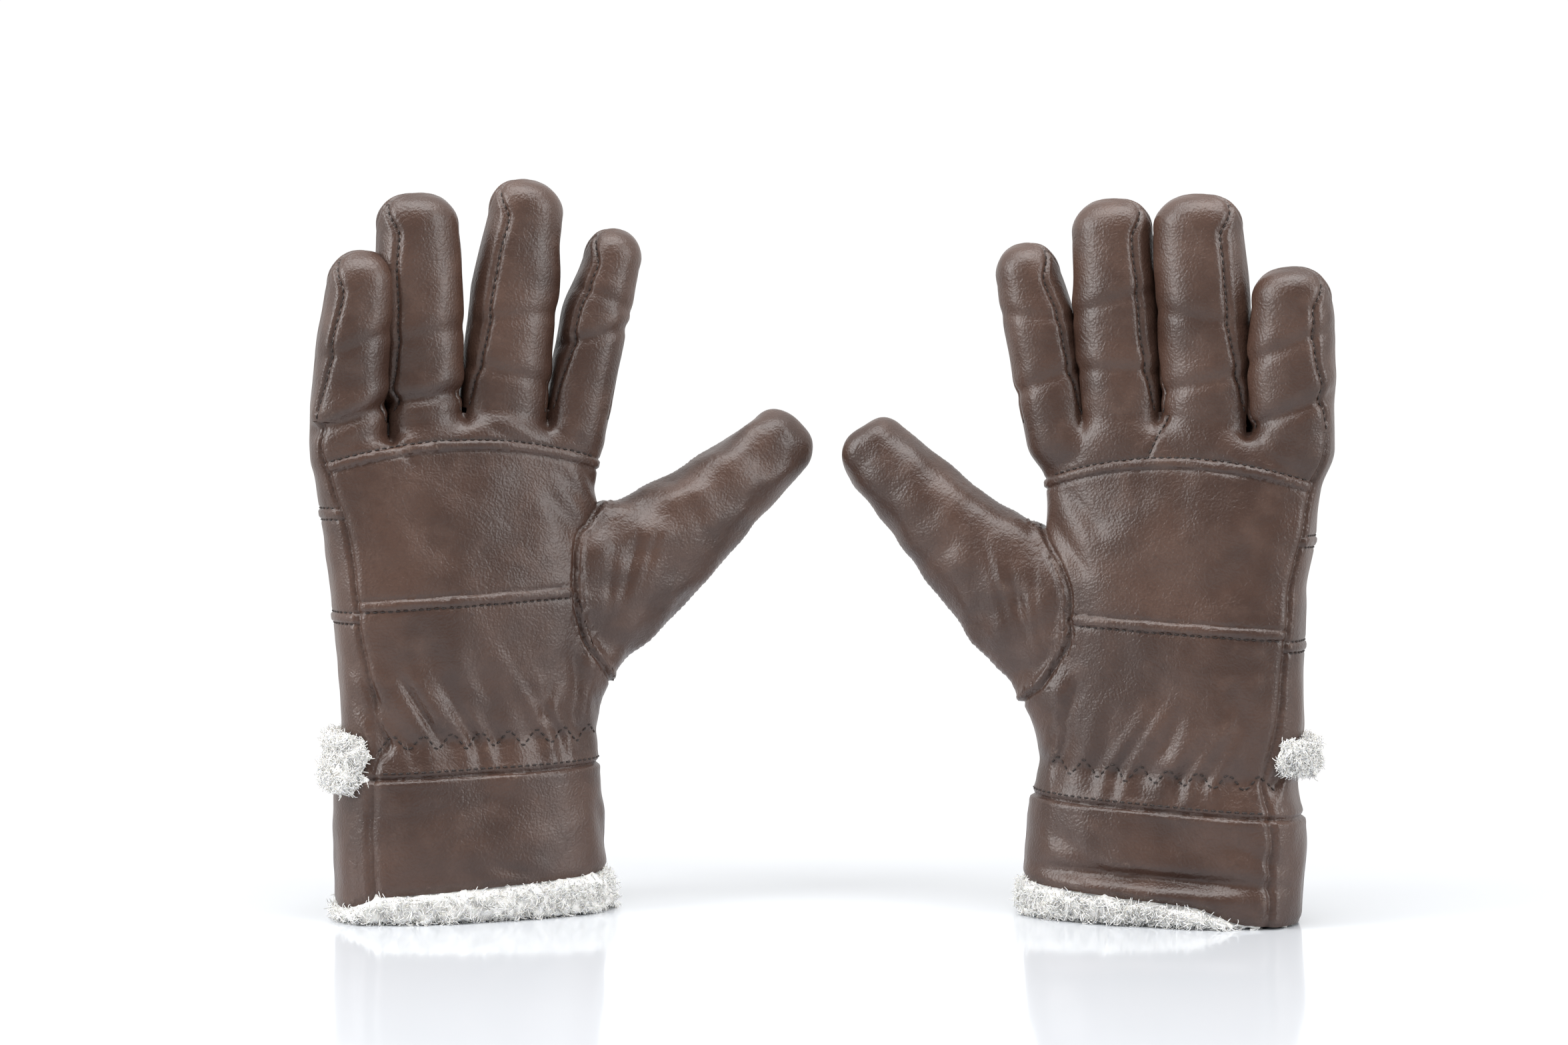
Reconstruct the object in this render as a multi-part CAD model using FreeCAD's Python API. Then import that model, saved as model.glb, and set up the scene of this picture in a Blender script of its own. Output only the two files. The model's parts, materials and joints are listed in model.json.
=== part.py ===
"""A pair of lined leather gloves that stand on their cuffs, palms to -Y and thumbs towards each other.

Each glove is a leather skin over a fleece lining, with a hand-shaped hollow that opens at the cuff.
The skin is cut and sewn from panels: three on the palm, three on the back, two at the cuff, and four
strips round each finger. A glove is designed in its own frame: +X to the thumb, -Y to the palm side,
+Z to the fingertips, cuff at z = 0.
The left glove is built as a right one, mirrored. Each finger and thumb has two hinges, near its palm side:
the soft knuckle folds there, so each hinge has a notch on the palm side and a fine slot on the back.
"""
import FreeCAD, Part
import math
import os

from FreeCAD import Placement, Rotation, Vector

# How the two gloves stand
TURN = 19.0              # each palm is turned towards the other glove, degrees
HALF_SPACING = 128.5     # from the middle of the pair to a cuff's middle
STAGGER = 6.0            # each cuff stands this far from the row, the left one to the front
# Height of the floor in each glove's own frame: the left glove's cuff is shorter
FLOOR = {"right": -4.5, "left": 5.0}

# Thicknesses
LEATHER = 1.2
GAP = 1.0                # between skin and lining, where the elastic runs
FLEECE = 3.0
LINING_INSET = LEATHER + GAP
HOLLOW_INSET = LINING_INSET + FLEECE

# The hand from cuff to web: height, half width, half depth, middle in x
HAND_SECTIONS = (
    (0.0, 52.0, 25.0, 1.5),
    (24.0, 50.8, 25.0, 1.0),
    (46.0, 49.0, 23.5, 0.5),
    (57.0, 47.0, 21.5, 0.0),
    (80.0, 48.0, 22.5, -1.0),
    (110.0, 50.0, 22.0, -1.5),
    (143.0, 52.5, 19.0, -2.0),
    (160.0, 54.5, 15.5, -2.5),
    (169.0, 53.5, 11.5, -2.5),
)
HAND_SHIFT = {"right": 0.0, "left": 2.5}   # and how far the whole hand lies to the thumb side
HAND_SQUARENESS = 2.6    # exponent of each section's superellipse

# The thumb from inside the hand to its tip: x, z, half height, half depth, tilt of its direction in degrees
THUMB_SECTIONS = (
    (18.0, 106.0, 26.0, 15.0, 0.0),
    (37.0, 110.5, 34.0, 17.5, 4.0),
    (69.0, 125.5, 23.2, 16.5, 26.0),
    (95.0, 145.4, 16.6, 15.0, 38.0),
    (112.0, 158.5, 14.5, 13.5, 40.0),
    (123.0, 167.7, 11.5, 11.5, 40.0),
    (129.5, 173.2, 7.5, 7.5, 40.0),
    (132.0, 175.3, 3.4, 3.4, 40.0),
)
THUMB_TILT = 40.0
THUMB_TIP_RADIUS = 11.6
# Degrees that each thumb is raised about its root
THUMB_RAISE = {"right": 0.0, "left": 6.0}
RAISED_FROM = 60.0       # from this x outwards

# Fingers: radius at the base hinge, radius of the round tip
FINGERS = {"index": (12.2, 11.8), "middle": (13.8, 12.2), "ring": (13.8, 12.6), "little": (13.6, 12.4)}
# x and height of each base hinge, and the finger's length beyond it
FINGER_PLACES = {
    "right": {
        "index": (41.0, 180.0, 66.4),
        "middle": (13.7, 182.0, 80.2),
        "ring": (-15.2, 181.0, 75.0),
        "little": (-44.0, 178.0, 56.8),
    },
    "left": {
        "index": (46.7, 188.0, 61.2),
        "middle": (20.0, 190.0, 73.8),
        "ring": (-10.5, 190.0, 74.0),
        "little": (-42.5, 184.0, 53.6),
    },
}
FINGER_ROOT = 25.0       # each finger reaches this far down into the hand
MIDDLE_KNUCKLE = 0.42    # share of the finger's length
# Degrees that each finger spreads to the thumb side, and leans to the palm side
SPREAD = {
    "right": {"index": 12.0, "middle": 4.5, "ring": -1.5, "little": 1.0},
    "left": {"index": 11.0, "middle": 4.0, "ring": 0.5, "little": 0.0},
}
LEAN = {"index": 1.0, "middle": 1.0, "ring": 2.0, "little": 5.0}

# Hinges
FINGER_AXIS_Y = -6.0     # the hinge axis lies this far to the palm side of the finger's middle
BASE_FLEX = 80.0
MIDDLE_FLEX = 90.0
THUMB_ROOT_X = 38.0
THUMB_ROOT_Z = 110.5
THUMB_ROOT_HALF = 38.5   # half the height of the part of the hand that moves with the thumb
THUMB_ROOT_DEPTH = 18.0  # and how far that part reaches before the thumb is clear of the hand
# Heights of the thumb's room: its bottom, its top beside the index finger, and its top further out
THUMB_ROOM = (60.0, 156.0, 200.0)
INDEX_SPARE = 8.0        # what the index finger's root takes of the thumb's room
THUMB_AXIS_Y = -13.0
THUMB_FLEX = 50.0
THUMB_KNUCKLE = (96.0, 145.3)
THUMB_TIP_AXIS_Y = -8.0
THUMB_TIP_FLEX = 60.0
SLOT = 0.4               # clearance between the two sides of a hinge
NOTCH_MARGIN = 2.0       # degrees that a notch is wider than the flex on each side

# Seams
SEAM = 0.05              # two sewn panels are this far apart
FRONT_SEAM = ((-12.5, 118.0), (-4.0, 160.0))   # y and z of the ends of the slant in the palm's side seam
STRIP_HALF = 7.5         # half the depth of the strips between a finger's front and back
THUMB_STRIP_HALF = 8.5
# The leather's lower edge over the floor, at the little finger side and the thumb side
HEM = (7.0, 13.5)
CUFF_SEAM = (46.5, 49.5)           # height of the cuff seam at the two sides
HEEL_SEAM = (107.5, 113.5)
ARC_SEAM = (158.0, 165.5, 156.5)   # the arched seam under the fingers: both sides and the middle
STRAP = (104.0, 141.0)             # the strap across the back
SIDE_X = 60.0            # seam heights are given at this distance on each side of the middle

# Wrist and hem
ELASTIC = (53.0, 61.0)
ELASTIC_WRAP = 6.0       # and the elastic this far past it to the back
TRIM = {"right": (41.0, 64.0), "left": (55.0, 73.0)}
TRIM_THICKNESS = 6.5
TRIM_WRAP = 1.5          # the trim reaches this far past the seam to the palm side
TRIM_END_X = 30.0        # and ends here, before the thumb side
HEM_PROUD = 1.5

FAR = 400.0
X, Y, Z = Vector(1, 0, 0), Vector(0, 1, 0), Vector(0, 0, 1)


def superellipse(centre, across, through, half_width, half_depth, power=2.0, count=24):
    """A closed wire round centre: across and through are its unit directions."""
    points = []
    for k in range(count):
        angle = 2 * math.pi * k / count
        c, s = math.cos(angle), math.sin(angle)
        u = math.copysign(abs(c) ** (2 / power), c) * half_width
        v = math.copysign(abs(s) ** (2 / power), s) * half_depth
        points.append(centre + across * u + through * v)
    curve = Part.BSplineCurve()
    curve.interpolate(points, PeriodicFlag=True)
    return Part.Wire(curve.toShape())


def hand(side, inset, bottom):
    """The hand from the height bottom to the web, shrunk by inset."""
    sections = list(HAND_SECTIONS)
    first, last = sections[0], sections[-1]
    sections[0] = (bottom,) + first[1:]
    sections[-1] = (last[0] - inset,) + last[1:]
    wires = [
        superellipse(Vector(x + HAND_SHIFT[side], 0, z), X, Y, w - inset, d - inset, HAND_SQUARENESS)
        for z, w, d, x in sections
    ]
    return Part.makeLoft(wires, True, True)


def thumb_place(side, x, z):
    """A place on the thumb's middle line, once the thumb is raised."""
    if x < RAISED_FROM:
        return Vector(x, 0, z)
    root = Vector(THUMB_ROOT_X, 0, THUMB_ROOT_Z)
    return root + Rotation(Y, -THUMB_RAISE[side]).multVec(Vector(x, 0, z) - root)


def thumb(side, inset):
    """The thumb with its root inside the hand, shrunk by inset."""
    wires = []
    last = len(THUMB_SECTIONS) - 1
    for k, (x, z, half_height, half_depth, tilt) in enumerate(THUMB_SECTIONS):
        angle = math.radians(tilt + (THUMB_RAISE[side] if x >= RAISED_FROM else 0.0))
        along = Vector(math.cos(angle), 0, math.sin(angle))
        across = Vector(-math.sin(angle), 0, math.cos(angle))
        # The last three sections make the round tip: they move back by the inset and shrink in proportion
        back = inset if k >= last - 2 else 0.0
        share = (THUMB_TIP_RADIUS - inset) / THUMB_TIP_RADIUS
        if k >= last - 2:
            size = (half_height * share, half_depth * share)
        else:
            size = (half_height - inset, half_depth - inset)
        wires.append(superellipse(thumb_place(side, x, z) - along * back, across, Y, *size))
    return Part.makeLoft(wires, True, True)


def finger_frame(side, name):
    """Where a finger's base hinge level is, with +Z along the finger and -Y to the palm side."""
    x, z, _ = FINGER_PLACES[side][name]
    spread = Rotation(Y, SPREAD[side][name])
    lean = Rotation(X, LEAN[name])
    return Placement(Vector(x, 0, z), spread.multiply(lean))


def finger_length(side, name):
    return FINGER_PLACES[side][name][2]


def finger(side, name, inset):
    """A finger along +Z from its base hinge level, with a round tip, shrunk by inset."""
    base_radius, tip_radius = FINGERS[name]
    base, tip = base_radius - inset, tip_radius - inset
    shoulder = finger_length(side, name) - tip_radius
    profile = ((0, -FINGER_ROOT), (base, -FINGER_ROOT), (base, 0), (tip, shoulder))
    corners = [Vector(x, 0, z) for x, z in profile]
    edges = [Part.makeLine(a, b) for a, b in zip(corners, corners[1:])]
    middle = Vector(tip * math.sin(math.pi / 4), 0, shoulder + tip * math.cos(math.pi / 4))
    top = Vector(0, 0, shoulder + tip)
    edges.append(Part.Arc(corners[-1], middle, top).toShape())
    edges.append(Part.makeLine(top, corners[0]))
    face = Part.Face(Part.Wire(edges))
    return face.revolve(Vector(0, 0, 0), Z, 360)


def whole_glove(side, inset, below=0.0):
    """Hand, thumb and the fingers' roots as one solid, shrunk by inset."""
    shape = hand(side, inset, FLOOR[side] - below).fuse(thumb(side, inset))
    for name in FINGERS:
        shape = shape.fuse(moved(finger(side, name, inset), finger_frame(side, name)))
    return shape


def layer(side, outer, inner):
    """The wall between two insets, open at the cuff."""
    return whole_glove(side, outer).cut(whole_glove(side, inner, 5.0))


def beyond(height, axis_y, front_angle, half_width, reach=FAR):
    """All that lies beyond a hinge in the hinge's own frame (+Z onwards, -Y to the palm side).

    Its lower face runs level from the back to the axis, and on to the front at front_angle above level.
    """
    slope = math.radians(front_angle)
    outline = [
        Vector(0, axis_y, height),
        Vector(0, axis_y - FAR * math.cos(slope), height + FAR * math.sin(slope)),
        Vector(0, axis_y - FAR, height + FAR),
        Vector(0, FAR, height + FAR),
        Vector(0, FAR, height),
    ]
    prism = Part.Face(Part.makePolygon(outline + outline[:1])).extrude(Vector(2 * half_width, 0, 0))
    prism.translate(Vector(-half_width, 0, 0))
    if reach < FAR:
        prism = prism.common(Part.makeBox(2 * FAR, 2 * FAR, reach + FAR, Vector(-FAR, -FAR, height - FAR)))
    return prism


def moved(shape, frame):
    shape = shape.copy()
    shape.Placement = frame.multiply(shape.Placement)
    return shape


def hinge_sides(frame, height, axis_y, flex, half_width, reach=FAR):
    """(room of the moving side, what the fixed side gives up) at a hinge."""
    half = flex / 2 + NOTCH_MARGIN
    moving = beyond(height + SLOT / 2, axis_y, half, half_width, reach)
    given_up = beyond(height - SLOT / 2, axis_y, -half, half_width + SLOT, reach)
    return moved(moving, frame), moved(given_up, frame)


def thumb_root_frame():
    """+Z leaves the hand sideways, -Y is the palm side."""
    return Placement(Vector(0, 0, THUMB_ROOT_Z), Rotation(Y, 90))


def thumb_knuckle_frame(side):
    place = thumb_place(side, *THUMB_KNUCKLE)
    return Placement(place, Rotation(Y, 90 - THUMB_TILT - THUMB_RAISE[side]))


def thumb_room():
    """(room of the thumb, what the hand gives up to it)."""
    sides = hinge_sides(
        thumb_root_frame(), THUMB_ROOT_X, THUMB_AXIS_Y, THUMB_FLEX, THUMB_ROOT_HALF, THUMB_ROOT_DEPTH
    )
    clear = THUMB_ROOT_X + THUMB_ROOT_DEPTH - 1
    bottom, beside_index, top = THUMB_ROOM
    near = Part.makeBox(FAR, 2 * FAR, beside_index - bottom, Vector(clear, -FAR, bottom))
    far = Part.makeBox(FAR, 2 * FAR, top - bottom, Vector(clear + INDEX_SPARE, -FAR, bottom))
    outside = near.fuse(far)
    return tuple(s.fuse(outside) for s in sides)


def stall_hinges(side):
    """For each finger: its room beyond the base hinge, what the hand gives up, and both at the next."""
    hinges = {}
    for name, (base_radius, _) in FINGERS.items():
        frame = finger_frame(side, name)
        half_width = base_radius + 0.6
        knuckle = MIDDLE_KNUCKLE * finger_length(side, name)
        base = hinge_sides(frame, 0, FINGER_AXIS_Y, BASE_FLEX, half_width)
        middle = hinge_sides(frame, knuckle, FINGER_AXIS_Y, MIDDLE_FLEX, half_width)
        hinges[name] = base + middle
    return hinges


def strips(shape, frame, strip_half, dome_from=None):
    """The front, back and side strips of a stall's wall, and its round tip, as separate solids."""
    def block(x, y, z, width, depth, height):
        return moved(Part.makeBox(width, depth, height, Vector(x, y, z)), frame)

    found = []
    body = shape
    if dome_from is not None:
        found.append(shape.common(block(-FAR, -FAR, dome_from, 2 * FAR, 2 * FAR, FAR)))
        body = shape.common(block(-FAR, -FAR, dome_from - SEAM - FAR, 2 * FAR, 2 * FAR, FAR))
    found.append(body.common(block(-FAR, -FAR - strip_half, -FAR, 2 * FAR, FAR, 2 * FAR)))
    found.append(body.common(block(-FAR, strip_half, -FAR, 2 * FAR, FAR, 2 * FAR)))
    depth = 2 * (strip_half - SEAM)
    for x in (-FAR, 0):
        found.append(body.common(block(x, SEAM - strip_half, -FAR, FAR, depth, 2 * FAR)))
    return found


def below_line(left, right):
    """All that lies under a level seam with these heights at the little finger side and the thumb side."""
    corners = ((-SIDE_X, left), (SIDE_X, right), (SIDE_X, -FAR), (-SIDE_X, -FAR))
    outline = [Vector(x, 0, z) for x, z in corners]
    return front_to_back(Part.makePolygon(outline + outline[:1]))


def below_arc(left, middle, right):
    """The same under an arched seam."""
    ends = Vector(-SIDE_X, 0, left), Vector(SIDE_X, 0, right)
    arc = Part.Arc(ends[0], Vector(0, 0, middle), ends[1]).toShape()
    rest = Part.makePolygon([ends[1], Vector(SIDE_X, 0, -FAR), Vector(-SIDE_X, 0, -FAR), ends[0]])
    return front_to_back(Part.Wire([arc] + rest.Edges))


def front_to_back(outline):
    prism = Part.Face(outline).extrude(Vector(0, 2 * FAR, 0))
    prism.translate(Vector(0, -FAR, 0))
    return prism


def raised(shape, up):
    shape = shape.copy()
    shape.translate(Vector(0, 0, up))
    return shape


def slab(low, high):
    return Part.makeBox(2 * FAR, 2 * FAR, high - low, Vector(-FAR, -FAR, low))


def palm_side(shift=0.0):
    """All that lies in front of the seam between the palm and the back, which wraps round the sides."""
    (low_y, low_z), (high_y, high_z) = FRONT_SEAM
    corners = ((-FAR, -FAR), (low_y, -FAR), (low_y, low_z), (high_y, high_z), (high_y, FAR), (-FAR, FAR))
    outline = [Vector(-FAR, y + shift, z) for y, z in corners]
    return Part.Face(Part.makePolygon(outline + outline[:1])).extrude(Vector(2 * FAR, 0, 0))


def below_hem(side, gap=0.0):
    """All that lies under the leather's lower edge, less a gap."""
    return below_line(*(height + FLOOR[side] - gap for height in HEM))


def hand_panels(side, skin):
    """The hand's leather, cut along its seams."""
    hem = below_hem(side)
    cuff = below_line(*CUFF_SEAM)
    heel = below_line(*HEEL_SEAM)
    arc = below_arc(*ARC_SEAM)
    skin = skin.cut(hem)
    front = skin.common(palm_side())
    back = skin.cut(palm_side(SEAM))
    strap_low, strap_high = STRAP
    upper = front.cut(raised(arc, SEAM))
    middle = front.common(arc).cut(raised(heel, SEAM))
    lower = front.common(heel).cut(raised(cuff, SEAM))
    above_cuff = back.cut(raised(cuff, SEAM))
    below_strap = above_cuff.common(slab(0, strap_low - SEAM))
    above_strap = above_cuff.common(slab(strap_high + SEAM, FAR))
    return {
        "palm_finger_panel": [upper],
        "palm_middle_panel": [middle],
        "palm_heel_panel": [lower],
        "back_panels": [below_strap, above_strap],
        "back_strap": [back.common(slab(strap_low, strap_high))],
        "cuff_bands": [front.common(cuff), back.common(cuff)],
    }


def wrist_and_hem(side):
    """The elastic under the wrist's zigzag seam, the fleece trim across the wrist's back, and the hem."""
    def band(outer, inner):
        return hand(side, outer, FLOOR[side]).cut(hand(side, inner, FLOOR[side] - 5))

    elastic = band(LEATHER + SEAM, LINING_INSET - SEAM).common(slab(*ELASTIC)).common(palm_side(ELASTIC_WRAP))
    trim = band(-TRIM_THICKNESS, -SEAM).common(slab(*TRIM[side])).cut(palm_side(-TRIM_WRAP))
    trim = trim.cut(Part.makeBox(FAR, 2 * FAR, 2 * FAR, Vector(TRIM_END_X, -FAR, -FAR)))
    hem = band(-HEM_PROUD, HOLLOW_INSET).common(below_hem(side, SEAM))
    return {"wrist_elastic": [elastic], "wrist_fleece_trim": [trim], "hem_fleece": [hem]}


def solids_of(shapes):
    """Every solid in the shapes, without slivers that a cut leaves."""
    found = [s for shape in shapes for s in shape.Solids if s.Volume > 5.0]
    return Part.makeCompound(found)


def glove_nodes(side):
    """One glove's nodes in its own frame: {node: compound of separate solids}."""
    skin = layer(side, 0.0, LEATHER)
    lining = layer(side, LINING_INSET, HOLLOW_INSET)
    hinges = stall_hinges(side)
    thumb_has, hand_gives = thumb_room()
    knuckle_frame = thumb_knuckle_frame(side)
    tip_has, base_gives = hinge_sides(knuckle_frame, 0, THUMB_TIP_AXIS_Y, THUMB_TIP_FLEX, 40)

    nodes = {}
    hand_skin, hand_lining = skin, lining
    for name, (_, tip_radius) in FINGERS.items():
        frame = finger_frame(side, name)
        dome = finger_length(side, name) - tip_radius
        beyond_base, taken_base, beyond_middle, taken_middle = hinges[name]
        hand_skin, hand_lining = hand_skin.cut(taken_base), hand_lining.cut(taken_base)
        stall = {
            "leather": finger(side, name, 0).cut(finger(side, name, LEATHER)),
            "lining": finger(side, name, LINING_INSET).cut(finger(side, name, HOLLOW_INSET)),
        }
        for kind, shape in stall.items():
            shape = moved(shape, frame).common(beyond_base)
            base, tip = shape.cut(taken_middle), shape.common(beyond_middle)
            if kind == "leather":
                nodes[f"{name}_base_leather"] = strips(base, frame, STRIP_HALF)
                nodes[f"{name}_tip_leather"] = strips(tip, frame, STRIP_HALF, dome)
            else:
                nodes[f"{name}_base_lining"] = [base]
                nodes[f"{name}_tip_lining"] = [tip]

    thumb_dome = math.dist(THUMB_KNUCKLE, THUMB_SECTIONS[-3][:2])
    for kind, shape in (("leather", hand_skin), ("lining", hand_lining)):
        shape = shape.common(thumb_has)
        base, tip = shape.cut(base_gives), shape.common(tip_has)
        if kind == "leather":
            nodes["thumb_base_leather"] = strips(base, knuckle_frame, THUMB_STRIP_HALF)
            nodes["thumb_tip_leather"] = strips(tip, knuckle_frame, THUMB_STRIP_HALF, thumb_dome)
        else:
            nodes["thumb_base_lining"] = [base]
            nodes["thumb_tip_lining"] = [tip]

    hand_skin, hand_lining = hand_skin.cut(hand_gives), hand_lining.cut(hand_gives)
    nodes.update(hand_panels(side, hand_skin))
    nodes["hand_lining"] = [hand_lining.cut(below_hem(side))]
    nodes.update(wrist_and_hem(side))
    return {name: solids_of(shapes) for name, shapes in nodes.items()}


def in_pair(shape, side):
    """A shape from a glove's own frame, in its place in the pair."""
    shape = shape.copy()
    if side == "left":
        shape = shape.mirror(Vector(0, 0, 0), X)
    sign = 1 if side == "right" else -1
    cuff_middle = Vector(-sign * HALF_SPACING, sign * STAGGER, -FLOOR[side])
    stands = Placement(cuff_middle, Rotation(Z, sign * TURN))
    shape.Placement = stands.multiply(shape.Placement)
    return shape


def to_origin(shapes):
    """The move that puts the middle of the pair's underside at the origin."""
    box = Part.makeCompound(list(shapes)).optimalBoundingBox(False)
    return Vector(-box.Center.x, -box.Center.y, -box.ZMin)


def main():
    os.makedirs("parts", exist_ok=True)
    pair = {}
    for side in ("right", "left"):
        for name, shape in glove_nodes(side).items():
            pair[f"{side}_{name}"] = in_pair(shape, side)
    move = to_origin(pair.values())
    print("moved by", move.x, move.y, move.z)
    for name, shape in pair.items():
        shape.translate(move)
        shape.exportStep(f"parts/{name}.step")
        print(name, len(shape.Solids), shape.isValid(), round(shape.Volume), flush=True)


if __name__ == "__main__":
    main()
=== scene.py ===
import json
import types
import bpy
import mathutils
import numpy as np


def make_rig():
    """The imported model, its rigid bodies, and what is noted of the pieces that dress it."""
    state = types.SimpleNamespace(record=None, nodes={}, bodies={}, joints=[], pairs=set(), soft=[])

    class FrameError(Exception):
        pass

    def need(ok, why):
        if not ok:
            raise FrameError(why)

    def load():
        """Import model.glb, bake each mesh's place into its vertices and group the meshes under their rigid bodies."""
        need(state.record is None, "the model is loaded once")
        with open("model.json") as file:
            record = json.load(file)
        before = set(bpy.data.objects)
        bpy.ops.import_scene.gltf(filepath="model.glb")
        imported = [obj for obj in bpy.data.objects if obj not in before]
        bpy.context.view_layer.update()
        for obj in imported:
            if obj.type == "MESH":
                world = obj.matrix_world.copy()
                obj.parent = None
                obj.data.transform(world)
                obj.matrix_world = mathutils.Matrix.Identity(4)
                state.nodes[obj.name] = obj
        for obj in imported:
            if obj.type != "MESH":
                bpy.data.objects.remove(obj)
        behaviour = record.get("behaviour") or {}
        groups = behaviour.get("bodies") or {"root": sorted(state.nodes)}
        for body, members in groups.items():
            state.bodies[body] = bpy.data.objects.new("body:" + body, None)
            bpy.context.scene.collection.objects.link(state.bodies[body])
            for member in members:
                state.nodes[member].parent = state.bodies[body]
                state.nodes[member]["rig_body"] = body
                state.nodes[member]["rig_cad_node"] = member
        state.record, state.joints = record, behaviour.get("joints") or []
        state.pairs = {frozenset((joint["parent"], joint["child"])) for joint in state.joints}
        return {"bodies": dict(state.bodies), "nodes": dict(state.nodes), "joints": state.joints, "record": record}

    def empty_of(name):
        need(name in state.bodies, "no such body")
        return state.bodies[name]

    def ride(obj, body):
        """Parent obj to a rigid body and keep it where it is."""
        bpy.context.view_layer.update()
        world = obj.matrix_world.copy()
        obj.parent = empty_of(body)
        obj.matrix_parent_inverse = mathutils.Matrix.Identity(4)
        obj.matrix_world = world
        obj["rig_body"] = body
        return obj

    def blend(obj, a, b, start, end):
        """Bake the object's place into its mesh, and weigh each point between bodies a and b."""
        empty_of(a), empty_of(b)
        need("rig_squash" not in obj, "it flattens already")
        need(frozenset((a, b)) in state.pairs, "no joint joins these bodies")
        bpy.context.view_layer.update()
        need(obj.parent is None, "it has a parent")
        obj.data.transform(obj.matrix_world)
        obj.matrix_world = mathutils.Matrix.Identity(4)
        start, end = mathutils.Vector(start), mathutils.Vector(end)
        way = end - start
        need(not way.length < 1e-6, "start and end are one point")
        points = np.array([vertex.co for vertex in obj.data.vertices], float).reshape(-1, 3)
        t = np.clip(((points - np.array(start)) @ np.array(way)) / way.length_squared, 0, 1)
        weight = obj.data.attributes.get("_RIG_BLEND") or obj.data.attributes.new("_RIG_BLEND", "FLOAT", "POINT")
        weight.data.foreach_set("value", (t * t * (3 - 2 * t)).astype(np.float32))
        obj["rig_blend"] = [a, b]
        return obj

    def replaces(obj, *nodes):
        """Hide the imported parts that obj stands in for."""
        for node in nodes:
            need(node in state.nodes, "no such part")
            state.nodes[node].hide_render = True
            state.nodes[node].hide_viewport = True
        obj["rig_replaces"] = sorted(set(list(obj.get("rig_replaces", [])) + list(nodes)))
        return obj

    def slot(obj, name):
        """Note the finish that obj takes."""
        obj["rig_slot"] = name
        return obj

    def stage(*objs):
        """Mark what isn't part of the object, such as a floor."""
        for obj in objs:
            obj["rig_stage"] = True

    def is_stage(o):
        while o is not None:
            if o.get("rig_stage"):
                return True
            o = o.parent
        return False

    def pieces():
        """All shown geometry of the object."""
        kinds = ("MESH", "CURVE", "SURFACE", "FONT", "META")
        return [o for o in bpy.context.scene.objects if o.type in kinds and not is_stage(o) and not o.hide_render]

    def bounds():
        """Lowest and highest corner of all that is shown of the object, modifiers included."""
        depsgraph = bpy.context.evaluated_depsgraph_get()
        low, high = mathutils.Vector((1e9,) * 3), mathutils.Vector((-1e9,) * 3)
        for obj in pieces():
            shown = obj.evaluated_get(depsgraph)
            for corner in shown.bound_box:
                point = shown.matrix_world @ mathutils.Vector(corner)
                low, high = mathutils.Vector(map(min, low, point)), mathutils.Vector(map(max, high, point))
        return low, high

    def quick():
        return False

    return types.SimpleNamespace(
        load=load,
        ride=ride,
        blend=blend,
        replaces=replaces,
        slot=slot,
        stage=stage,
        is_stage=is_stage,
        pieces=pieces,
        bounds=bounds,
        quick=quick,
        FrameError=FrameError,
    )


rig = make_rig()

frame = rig.load()

import json
import math
from types import SimpleNamespace

import bpy
import numpy as np
import openvdb
from mathutils import Matrix, Vector

CAD_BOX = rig.bounds()

# Every length in this file is in millimetres, in a glove's own frame, until a piece is made:
# +X to the thumb, -Y to the palm side, +Z to the fingertips, the cuff at z = 0.
MM = 0.001
SIDES = ("right", "left")
FINGER_NAMES = ("index", "middle", "ring", "little")

# The hand: height, depth to the palm, depth to the back
HAND_DEPTHS = np.array((
    (-12, 24.0, 25.0), (22, 24.0, 25.0), (46, 22.6, 23.4), (58, 20.3, 21.2), (74, 21.3, 22.0),
    (110, 21.2, 22.0), (143, 18.2, 19.2), (160, 15.3, 15.5), (195, 12.8, 13.5),
))
# and its outline: height, half width, middle in x
OUTLINES = {
    "right": np.array((
        (-12, 50.4, 1.6), (22, 48.8, 0.5), (46, 47.2, -0.2), (58, 46.6, 0.6), (74, 47.2, 0.3),
        (110, 48.6, -0.6), (143, 50.5, -2.6), (160, 51.6, -4.7), (195, 51.0, -4.4),
    )),
    "left": np.array((
        (-12, 50.6, 6.6), (22, 49.4, 6.4), (46, 48.1, 5.2), (58, 47.0, 4.4), (74, 47.8, 3.4),
        (110, 47.4, 3.0), (124, 46.8, 3.4), (143, 48.4, 0.8), (165, 49.3, 0.4), (195, 48.6, 1.4),
    )),
}
HAND_POWER = 2.7
WEB_SOFTNESS = 5.0

# The thumb's middle line: x, z, half height, half depth
THUMB = np.array((
    (18, 104, 26, 14.5),
    (37, 110.5, 32, 17.0),
    (54, 117, 28, 17.3),
    (69, 125.5, 23.0, 16.6),
    (84, 136, 19.3, 15.8),
    (98, 147.6, 16.4, 15.0),
    (112, 158.7, 14.6, 13.6),
    (120.3, 165.7, 13.2, 12.5),
))
THUMB_POWER = 2.3
THUMB_TIP_ROUND = 0.86                # length of the thumb's round tip over its half depth
THUMB_ROOT = (38.0, -13.0, 110.5)     # a point of the thumb's root hinge
THUMB_RAISE = {"right": 0.7, "left": 5.2}

# Hinges and rings
HINGE_DEPTH = 6.0                     # a finger's hinges lie this far to the palm side of its middle line
MIDDLE_KNUCKLE = 0.42                 # share of a finger's length
TIP_ROUND = 12.0                      # a finger's round tip is this long
FINGER_ROOT = (10.0, 12.0)            # a finger ends this far down inside the hand, over this length
FINGER_RING = -4.0                    # a finger's own skin starts here, above the webs
BASE_BEND = (-3.0, 11.0)              # skin between these bends at the base knuckle
MIDDLE_BEND = 11.0                    # and this far to each side of the middle one

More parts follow.
